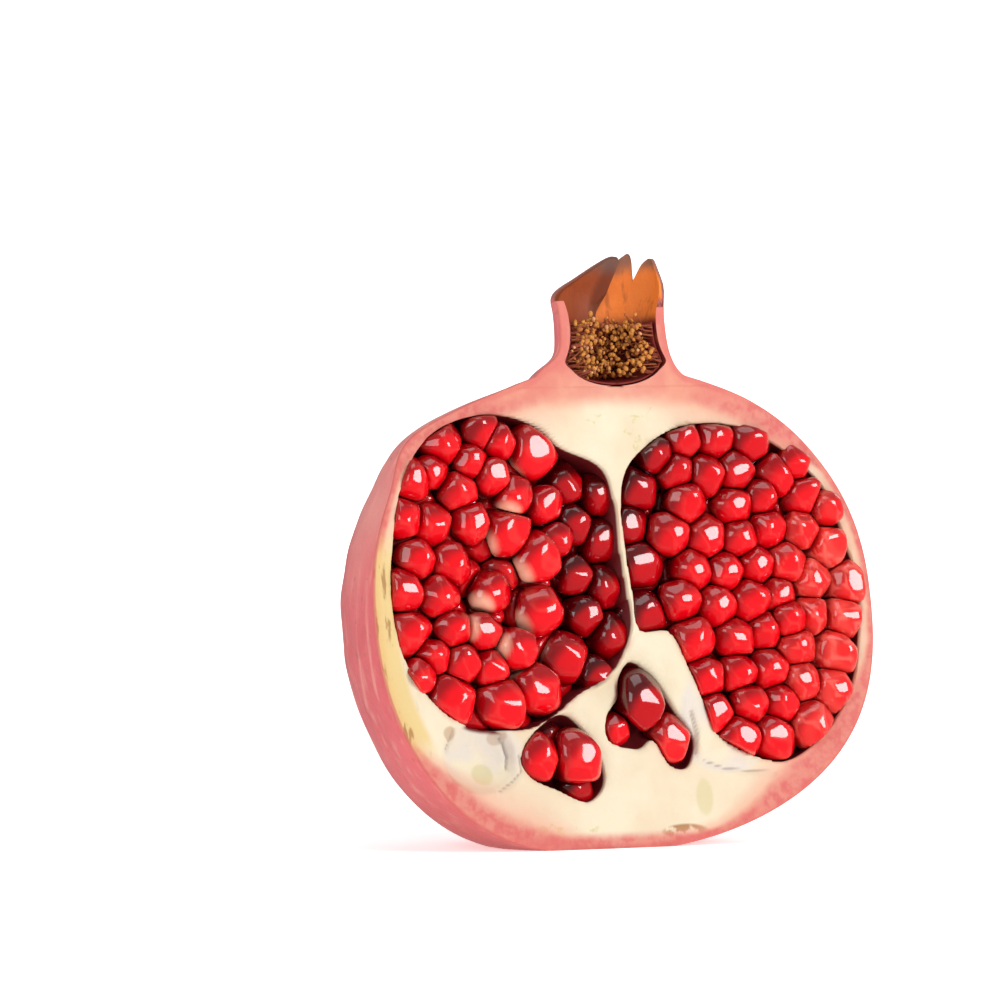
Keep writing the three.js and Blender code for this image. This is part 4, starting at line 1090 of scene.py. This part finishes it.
class NodeSheet:
    """The node tree of one material, filled through one method."""

    def __init__(self, name: str) -> None:
        """Start a material with an empty tree."""
        self.material = bpy.data.materials.new(name)
        self.material.use_nodes = True
        self.tree = self.material.node_tree
        self.tree.nodes.clear()

    def add(self, kind: str, settings: dict[str, Any], inputs: dict[Any, Any], output: Any = 0) -> Value:
        """Add a node.

        Args:
            kind: The node's type.
            settings: Its own settings, set first; stops is a list of a colour ramp's (place, colour).
            inputs: Values or links for its sockets, by name or number.
            output: Name or number of the socket to return.

        Returns:
            The chosen output.
        """
        node = self.tree.nodes.new(kind)
        for key, value in settings.items():
            if key == "stops":
                self.set_stops(node.color_ramp, value)
            else:
                setattr(node, key, value)
        for key, value in inputs.items():
            socket = node.inputs[key]
            if isinstance(value, Value):
                self.tree.links.new(value.socket, socket)
            else:
                socket.default_value = value
        return Value(self, node.outputs[output])

    @staticmethod
    def set_stops(ramp: bpy.types.ColorRamp, stops: list[tuple[float, tuple[float, ...]]]) -> None:
        """Give a colour ramp its stops."""
        while len(ramp.elements) < len(stops):
            ramp.elements.new(0.5)
        for element, (place, colour) in zip(ramp.elements, stops):
            element.position = place
            element.color = (*colour, 1.0)

    def mark(self, name: str) -> Value:
        """Read one of the piece's own marks."""
        return self.add("ShaderNodeAttribute", {"attribute_name": name}, {}, "Fac")

    def place(self) -> Value:
        """Object coordinates, in metres."""
        return self.add("ShaderNodeTexCoord", {}, {}, "Object")

    def stretched(self, factors: tuple[float, float, float]) -> Value:
        """Object coordinates stretched by a factor each way."""
        return self.add("ShaderNodeMapping", {}, {"Vector": self.place(), "Scale": factors})

    def noise(self, scale: float, detail: float = 3.0, rough: float = 0.55, at: Value | None = None) -> Value:
        """Noise with features 1/scale metres apart."""
        inputs = {"Vector": at or self.place(), "Scale": scale, "Detail": detail, "Roughness": rough}
        return self.add("ShaderNodeTexNoise", {}, inputs)

    def blend(self, share: Any, low: Any, high: Any) -> Value:
        """Mix two colours by a share from 0 to 1."""
        settings = {"data_type": "RGBA", "clamp_factor": True}
        low = low if isinstance(low, Value) else (*low, 1.0)
        high = high if isinstance(high, Value) else (*high, 1.0)
        return self.add("ShaderNodeMix", settings, {0: share, 6: low, 7: high}, 2)

    def bump(self, height: Value, strength: float, distance: float) -> Value:
        """Bump from a height, in metres at full strength."""
        return self.add("ShaderNodeBump", {}, {"Strength": strength, "Distance": distance, "Height": height}, "Normal")

    def finish(self, inputs: dict[str, Any]) -> bpy.types.Material:
        """Close the tree with a Principled shader and return the material."""
        shader = self.add("ShaderNodeBsdfPrincipled", {}, inputs, "BSDF")
        self.add_output(shader)
        return self.material

    def add_output(self, shader: Value) -> None:
        """Link a shader to the material's output."""
        out = self.tree.nodes.new("ShaderNodeOutputMaterial")
        self.tree.links.new(shader.socket, out.inputs["Surface"])


@dataclass(frozen=True)
class RindFinish:
    """Rosy mottled skin, cream pith with a pink line under the skin, and the crown's orange inside, with painted shade
    on the chambers' walls, along the creases and on the crown's left flap.
    """

    red: tuple[float, float, float] = (0.50, 0.035, 0.05)
    rose: tuple[float, float, float] = (0.74, 0.15, 0.16)
    blond: tuple[float, float, float] = (0.86, 0.36, 0.30)
    crimson: tuple[float, float, float] = (0.30, 0.008, 0.02)
    # Dark red of the painted shade on the chambers' walls.
    hollow: tuple[float, float, float] = (0.13, 0.002, 0.004)
    cream: tuple[float, float, float] = (0.70, 0.575, 0.40)
    ivory: tuple[float, float, float] = (0.74, 0.655, 0.485)
    film: tuple[float, float, float] = (0.66, 0.60, 0.54)
    # Greyish brown of the painted shade in the creases.
    painted_shade_grey: tuple[float, float, float] = (0.42, 0.33, 0.28)
    peach: tuple[float, float, float] = (0.70, 0.30, 0.20)
    coral: tuple[float, float, float] = (0.60, 0.125, 0.11)
    straw: tuple[float, float, float] = (0.68, 0.50, 0.19)
    olive: tuple[float, float, float] = (0.55, 0.48, 0.20)
    brown: tuple[float, float, float] = (0.34, 0.15, 0.04)
    bark: tuple[float, float, float] = (0.16, 0.085, 0.065)
    orange: tuple[float, float, float] = (0.80, 0.205, 0.028)
    rust: tuple[float, float, float] = (0.25, 0.040, 0.009)
    wine: tuple[float, float, float] = (0.13, 0.006, 0.006)
    # Nearly black brown of the painted shade along the flap's fold.
    painted_fold_shade: tuple[float, float, float] = (0.12, 0.02, 0.006)

    def skin(self, sheet: NodeSheet) -> Value:
        """Colour of the skin: rosy near the cut, redder round the back, with fine pale streaks up the fruit."""
        turn, up = sheet.mark("turn"), sheet.mark("up")
        back = (turn - 90.0).math("ABSOLUTE").ease(88.0, 38.0)
        patches = sheet.noise(34.0, 4.0, 0.6).ease(0.40, 0.66)
        colour = sheet.blend(patches * (0.15 + 0.85 * back), self.rose, self.red)
        colour = sheet.blend(sheet.noise(21.0, 3.0, 0.5).ease(0.52, 0.72) * 0.7, colour, self.blond)
        colour = sheet.blend(sheet.noise(90.0, 4.0, 0.7).ease(0.55, 0.75) * (0.15 + 0.45 * back), colour, self.crimson)
        streaks = sheet.noise(1.0, 2.0, 0.5, sheet.stretched((420.0, 420.0, 60.0)))
        colour = sheet.blend(streaks.ease(0.50, 0.72) * 0.6, colour, self.blond)
        colour = sheet.blend(up.ease(-24.0, -38.0) * 0.55, colour, self.coral)
        specks = sheet.noise(620.0, 1.0, 0.5).ease(0.66, 0.74)
        colour = sheet.blend(specks * 0.35, colour, self.brown)
        ragged = up + 3.0 * (sheet.noise(260.0, 3.0) - 0.5)
        return sheet.blend(ragged.ease(54.0, 57.5) * 0.85, colour, self.bark)

    @staticmethod
    def spot(sheet: NodeSheet, u: float, v: float, wide: float, high: float) -> Value:
        """Share from 0 to 1 inside a soft ellipse round u, v: 1 - ((x - u) / wide)^2 - ((y - v) / high)^2, eased."""
        x = (sheet.mark("across") - u) * (1 / wide)
        y = (sheet.mark("up") - v) * (1 / high)
        return (1.0 - (x * x + y * y)).ease(0.0, 0.55)

    def rim_tint(self, sheet: NodeSheet, colour: Value) -> Value:
        """Add what runs along the skin: a dusty pink line, and peach that fades inwards, wider low on the right.

        Args:
            sheet: The material's tree.
            colour: Colour of the pith.

        Returns:
            The tinted colour.
        """
        rim, across, up = sheet.mark("rim_gap"), sheet.mark("across"), sheet.mark("up")
        ragged = rim + 1.1 * (sheet.noise(190.0, 3.0) - 0.5)
        low_right = across.ease(14.0, 34.0) * up.ease(-6.0, -24.0)
        low_left = across.ease(-8.0, -24.0) * up.ease(-22.0, -30.0)
        wide = 1.0 + 3.4 * low_right + 2.2 * low_left + 2.4 * up.ease(24.0, 31.0)
        spread = ragged / wide
        colour = sheet.blend(spread.ease(3.6, 0.6) * 0.75, colour, self.peach)
        grain = sheet.noise(520.0, 2.0).ease(0.35, 0.7)
        colour = sheet.blend(spread.ease(1.7, 0.7) * (0.65 + 0.35 * grain), colour, self.coral)
        strip = across.ease(-38.0, -42.0) * up.ease(17.0, 9.0) * up.ease(-26.0, -20.0) * rim.ease(5.2, 3.6)
        streaky = sheet.noise(1.0, 3.0, 0.6, sheet.stretched((600.0, 600.0, 90.0)))
        colour = sheet.blend(strip * 0.85, colour, self.straw)
        colour = sheet.blend(strip * streaky.ease(0.54, 0.64) * 0.8, colour, self.brown)
        foot = up.ease(-38.2, -40.2) * (0.7 + 0.3 * grain)
        return sheet.blend((rim.ease(0.55, 0.2) * 0.7).math("MAXIMUM", foot), colour, self.coral)

    def stains(self, sheet: NodeSheet, colour: Value) -> Value:
        """Add the small marks of the cut: greyish films, a yellow-green patch, brown specks along the base, and
        painted shade along the creases.

        Args:
            sheet: The material's tree.
            colour: Colour of the pith.

        Returns:
            The marked colour.
        """
        fine = sheet.noise(420.0, 3.0)
        film = self.spot(sheet, -31.0, -24.5, 9.0, 7.0).math("MAXIMUM", self.spot(sheet, 12.4, -19.5, 3.6, 8.5))
        film = film.math("MAXIMUM", self.spot(sheet, 18.5, -26.6, 7.0, 2.6))
        cloudy_and_painted_glow = sheet.blend(sheet.noise(140.0, 2.0).ease(0.4, 0.65), self.film, self.ivory)
        colour = sheet.blend(film * 0.8, colour, cloudy_and_painted_glow)
        colour = sheet.blend(self.spot(sheet, -30.4, -27.6, 2.4, 2.2) * 0.5, colour, self.olive)
        colour = sheet.blend(self.spot(sheet, -37.4, -20.4, 1.6, 1.5) * 0.45, colour, self.brown)
        colour = sheet.blend(self.spot(sheet, -27.5, -21.2, 1.8, 1.6) * 0.35, colour, self.brown)
        # Painted shade: greyish brown along the creases' grooves.
        colour = sheet.blend(sheet.mark("painted_crease_shade").ease(0.35, 0.95) * 0.75, colour, self.painted_shade_grey)
        colour = sheet.blend(self.spot(sheet, 12.9, -33.0, 2.0, 3.8) * 0.45, colour, self.olive)
        top = self.spot(sheet, 5.0, 33.0, 13.0, 5.5) * fine.ease(0.60, 0.68)
        low = self.spot(sheet, -18.0, -38.0, 11.0, 1.6) * fine.ease(0.56, 0.64)
        colour = sheet.blend(top.math("MAXIMUM", low) * 0.6, colour, self.olive)
        scar = self.spot(sheet, 8.5, -38.9, 5.2, 1.5) * sheet.noise(300.0, 3.0).ease(0.38, 0.5)
        return sheet.blend(scar * 0.9, colour, self.brown)

    def pith(self, sheet: NodeSheet) -> Value:
        """Colour of the cut: ivory and cream, with painted shade in dark red on the chambers' walls, pink on the neck
        and along the skin.
        """
        seeds, up, hollow = sheet.mark("seed_gap"), sheet.mark("up"), sheet.mark("hollow")
        across, rim = sheet.mark("across"), sheet.mark("rim_gap")
        colour = sheet.blend(sheet.noise(70.0, 3.0).ease(0.35, 0.7), self.ivory, self.cream)
        blush = seeds.ease(1.2, 0.1) * sheet.noise(120.0, 2.0).ease(0.45, 0.7)
        colour = sheet.blend(blush * 0.3, colour, self.peach)
        colour = self.rim_tint(sheet, self.stains(sheet, colour))
        # Painted shade: dark red on the chambers' walls deeper than 0.75 mm, inside the outlines.
        inside = hollow.ease(0.75, 1.5) * seeds.ease(0.9, 0.2)
        colour = sheet.blend(inside, colour, self.hollow)
        blotch = sheet.noise(110.0, 3.0).ease(0.35, 0.6)
        neck = sheet.blend(blotch * 0.55, self.peach, self.coral)
        left = across.ease(-6.0, -9.0)
        neck = sheet.blend((left * up.ease(42.0, 45.0) + rim.ease(1.6, 0.7)).limit() * 0.6, neck, self.coral)
        ragged = up + 2.5 * (sheet.noise(130.0, 3.0) - 0.5)
        colour = sheet.blend(ragged.ease(35.5, 39.0) * 0.85, colour, neck)
        return sheet.blend(up.ease(55.5, 58.5), colour, self.bark)

    def crown(self, sheet: NodeSheet) -> Value:
        """Colour inside the crown: dark wine red in the cup, orange on the sepals, with dry brown tips, painted shade
        in rust brown on the left flap past the slit, and darker painted shade along its fold.
        """
        up, turn = sheet.mark("up"), sheet.mark("turn")
        dark = sheet.blend(sheet.noise(200.0, 3.0).ease(0.4, 0.7), self.wine, self.rust)
        streaks = sheet.noise(1.0, 3.0, 0.6, sheet.stretched((700.0, 700.0, 110.0)))
        flap = turn.ease(83.6, 85.4)
        # Painted shade: the left flap past the slit is painted nearly all rust brown.
        sepal = sheet.blend(flap * 0.9, self.orange, self.rust)
        sepal = sheet.blend(streaks.ease(0.5, 0.7) * 0.45, sepal, self.rust)
        # Darker painted shade along the flap's fold near the slit.
        painted_fold_shade = flap * turn.ease(96.0, 90.0) * 0.7
        sepal = sheet.blend(painted_fold_shade * 0.8, sepal, self.painted_fold_shade)
        colour = sheet.blend(up.ease(51.0, 53.5), dark, sepal)
        ragged = up + 2.4 * (sheet.noise(240.0, 3.0) - 0.5)
        return sheet.blend(ragged.ease(59.6, 62.6) * 0.85, colour, self.bark)

    def material(self) -> bpy.types.Material:
        """The husk's material, which takes each part of the surface by its marks."""
        sheet = NodeSheet("rind")
        cut, cup = sheet.mark("cut"), sheet.mark("cup")
        colour = sheet.blend(cut.ease(0.4, 0.6), self.skin(sheet), self.pith(sheet))
        colour = sheet.blend(cup.ease(0.4, 0.6), colour, self.crown(sheet))
        pores = sheet.noise(900.0, 2.0) * 0.5 + sheet.noise(240.0, 3.0) * 0.5
        rough = 0.36 + 0.26 * cut + 0.1 * (sheet.noise(180.0, 2.0) - 0.5)
        return sheet.finish(
            {
                "Base Color": colour,
                "Roughness": rough,
                "Subsurface Weight": 0.12,
                "Subsurface Radius": (0.004, 0.002, 0.001),
                "Subsurface Scale": 0.6,
                "Specular IOR Level": 0.35,
                "Normal": sheet.bump(pores, 0.35, 0.0006),
            }
        )


@dataclass(frozen=True)
class ArilFinish:
    """Wet, translucent juice sacs, cream at the root, with painted light and shade: a bright red painted glow on one
    side, painted shade round the flanks and on arils in shaded places, salmon painted light on lit arils, and painted
    highlights along the facets' ridges.
    """

    # Bright red of the painted glow.
    painted_glow_red: tuple[float, float, float] = (0.80, 0.0, 0.006)
    red: tuple[float, float, float] = (0.34, 0.0, 0.003)
    # Nearly black red for the painted shade.
    dark: tuple[float, float, float] = (0.065, 0.0, 0.001)
    # Light salmon red for the painted light on lit arils.
    coral: tuple[float, float, float] = (0.80, 0.045, 0.035)
    pale: tuple[float, float, float] = (0.92, 0.52, 0.36)
    # Pale salmon of the painted highlight along the facets' ridges.
    painted_ridge_highlight: tuple[float, float, float] = (0.82, 0.13, 0.10)

    def material(self) -> bpy.types.Material:
        """The arils' material, with constant clear coat and scattering."""
        sheet = NodeSheet("aril")
        names = ("tone", "pale", "painted_ridge_highlight", "painted_flank_shade", "glow", "ring")
        tone, pale, painted_ridge_highlight, painted_flank_shade, glow, ring = (sheet.mark(name) for name in names)
        # Painted glow: brighter red on the side the glow mark faces, broken up by noise.
        cloudy_and_painted_glow = (glow + 0.5 * (sheet.noise(210.0, 2.0) - 0.5)).ease(0.1, 0.8)
        coral = tone.ease(0.1, 0.8)
        colour = sheet.blend(cloudy_and_painted_glow, self.red, self.painted_glow_red)
        # Painted light: salmon on arils whose tint is lit, strongest in a band round the middle.
        colour = sheet.blend(coral * (0.35 + 0.65 * ring), colour, self.coral)
        # Painted shade: nearly black red on arils whose tint is dark.
        colour = sheet.blend(tone.ease(0.0, -0.9) * (1.0 - 0.55 * cloudy_and_painted_glow), colour, self.dark)
        # Painted highlight along the facets' ridges, strongest on lit arils.
        colour = sheet.blend(painted_ridge_highlight.ease(0.5, 1.0) * (0.15 + 0.65 * coral) * tone.ease(-0.8, 0.2), colour, self.painted_ridge_highlight)
        # Painted shade round the flanks, where the surface turns away from the front.
        colour = sheet.blend(painted_flank_shade.ease(0.30, 1.0) * (0.9 - 0.6 * coral), colour, self.dark)
        streaky = pale * (0.9 + 0.8 * (sheet.noise(420.0, 2.0) - 0.5))
        colour = sheet.blend(streaky.limit() * tone.ease(-1.0, -0.3), colour, self.pale)
        return sheet.finish(
            {
                "Base Color": colour,
                "Roughness": 0.16,
                "Subsurface Weight": 0.25,
                "Subsurface Radius": (0.003, 0.0002, 0.0002),
                "Subsurface Scale": 0.6,
                "Specular IOR Level": 0.15,
                "Coat Weight": 1.0,
                "Coat Roughness": 0.03,
                "Coat IOR": 1.55,
                "Normal": sheet.bump(sheet.noise(330.0, 2.0), 0.04, 0.0006),
            }
        )


@dataclass(frozen=True)
class StamenFinish:
    """Dry threads and anthers in gold and brown on a dark lining."""

    gold: tuple[float, float, float] = (0.58, 0.22, 0.03)
    straw: tuple[float, float, float] = (0.80, 0.42, 0.26)
    brown: tuple[float, float, float] = (0.26, 0.04, 0.012)
    lining: tuple[float, float, float] = (0.22, 0.012, 0.006)

    def material(self) -> bpy.types.Material:
        """The stamens' material, tinted by each thread's own mark."""
        sheet = NodeSheet("stamen")
        tint = sheet.mark("tint")
        colour = sheet.blend(tint.ease(0.1, 0.5), self.brown, self.gold)
        colour = sheet.blend(tint.ease(0.8, 1.0), colour, self.straw)
        colour = sheet.blend(tint.ease(-0.4, -0.6), colour, self.lining)
        return sheet.finish(
            {
                "Base Color": colour,
                "Roughness": 0.7,
                "Normal": sheet.bump(sheet.noise(1500.0, 2.0), 0.4, 0.0003),
            }
        )


@dataclass(frozen=True)
class Studio:
    """Camera, lights and the pale floor."""

    azimuth: float = -30.0
    elevation: float = 2.0
    distance: float = 2.0
    pixels_per_mm: float = 5.70
    middle_px: tuple[float, float] = (627.0, 612.0)
    sensor: float = 36.0
    lights: list[tuple[str, tuple[float, float, float], float, float]] = field(
        default_factory=lambda: [
            ("key", (0.50, -0.82, 0.42), 0.42, 6.2),
            ("side", (-0.95, -0.45, 0.55), 0.6, 3.4),
            ("top", (0.0, -0.15, 1.1), 0.7, 2.6),
            ("rear", (0.9, 0.8, 0.6), 0.6, 3.0),
        ]
    )

    def camera(self) -> None:
        """Set the camera so that the fruit's middle falls where the photograph has it in a 1000 by 1000 frame."""
        az, el = math.radians(self.azimuth), math.radians(self.elevation)
        ahead = Vector((-math.sin(az) * math.cos(el), math.cos(az) * math.cos(el), -math.sin(el)))
        right = ahead.cross(Vector((0, 0, 1))).normalized()
        above = right.cross(ahead)
        middle = Vector(FORM.to_scene(np.zeros((1, 3)))[0])
        scale = 1000.0 * self.pixels_per_mm
        target = middle + right * ((500 - self.middle_px[0]) / scale) + above * ((self.middle_px[1] - 500) / scale)
        data = bpy.data.cameras.new("camera")
        data.sensor_width = self.sensor
        data.sensor_fit = "HORIZONTAL"
        data.lens = self.pixels_per_mm * self.sensor / 1000 * self.distance * 1000
        data.clip_start = 0.01
        camera = bpy.data.objects.new("camera", data)
        camera.location = target - ahead * self.distance
        camera.rotation_euler = ahead.to_track_quat("-Z", "Y").to_euler()
        bpy.context.collection.objects.link(camera)
        bpy.context.scene.camera = camera

    def light(self) -> None:
        """Add the soft boxes and an even white surround."""
        for name, place, size, power in self.lights:
            data = bpy.data.lights.new(name, "AREA")
            data.shape = "SQUARE"
            data.size = size
            data.energy = power
            lamp = bpy.data.objects.new(name, data)
            lamp.location = place
            way = Vector((0.0, 0.0, 0.05)) - Vector(place)
            lamp.rotation_euler = way.to_track_quat("-Z", "Y").to_euler()
            bpy.context.collection.objects.link(lamp)
        world = bpy.data.worlds.new("surround")
        world.use_nodes = True
        world.node_tree.nodes["Background"].inputs["Color"].default_value = (1, 1, 1, 1)
        world.node_tree.nodes["Background"].inputs["Strength"].default_value = 0.28
        bpy.context.scene.world = world

    def sweep(self) -> None:
        """Lay the white paper sweep: floor, and a backdrop that rises from it on a quarter circle.

        It stands far enough back for a camera 2 m behind the fruit, and glows more the further it is from the fruit.
        """
        bend = np.radians(np.linspace(0, 90, 17))
        run = np.concatenate([[-2.6], 2.3 + 0.4 * np.sin(bend), [2.7]])
        rise = np.concatenate([[0.0], 0.4 - 0.4 * np.cos(bend), [2.4]])
        n = len(run)
        points = [(x, float(y), float(z)) for x in (-2.8, 2.8) for y, z in zip(run, rise)]
        mesh = bpy.data.meshes.new("sweep")
        mesh.from_pydata(points, [], [(i, n + i, n + i + 1, i + 1) for i in range(n - 1)])
        mesh.polygons.foreach_set("use_smooth", np.ones(n - 1, bool))
        sweep = bpy.data.objects.new("sweep", mesh)
        bpy.context.collection.objects.link(sweep)
        sheet = NodeSheet("paper")
        colour = sheet.blend(sheet.noise(8.0, 2.0), (0.93, 0.93, 0.93), (0.95, 0.95, 0.95))
        far = sheet.add("ShaderNodeVectorMath", {"operation": "LENGTH"}, {0: sheet.place()}, "Value")
        glow = sheet.blend(far.ease(0.3, 0.9), (0.47, 0.47, 0.47), colour)
        finish = {"Base Color": colour, "Roughness": 0.6, "Emission Color": glow, "Emission Strength": 1.0}
        mesh.materials.append(sheet.finish(finish))
        sweep.visible_glossy = False

    def look(self) -> None:
        """Keep the colours as they are lit, with the plain view transform."""
        view = bpy.context.scene.view_settings
        view.view_transform = "Standard"
        view.look = "None"


def dress(piece: bpy.types.Object, node: str, material: bpy.types.Material) -> None:
    """Give a piece its material and let it stand for its CAD node."""
    piece.data.materials.append(material)
    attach(piece, "root")
    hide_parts(node)


def main() -> None:
    """Build the fruit, dress it, and set the studio."""
    logging.basicConfig(level=logging.INFO, format="%(message)s")
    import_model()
    studio = Studio()
    studio.camera()
    studio.light()
    studio.sweep()
    studio.look()
    dress(Husk().build(), "husk", RindFinish().material())
    aril_material = ArilFinish().material()
    for chamber in LARGE + SMALL:
        dress(ArilPack(chamber).build(), f"arils_{chamber.name}", aril_material)
    dress(StamenCup().build(), "stamens", StamenFinish().material())


if __name__ == "__main__":
    main()
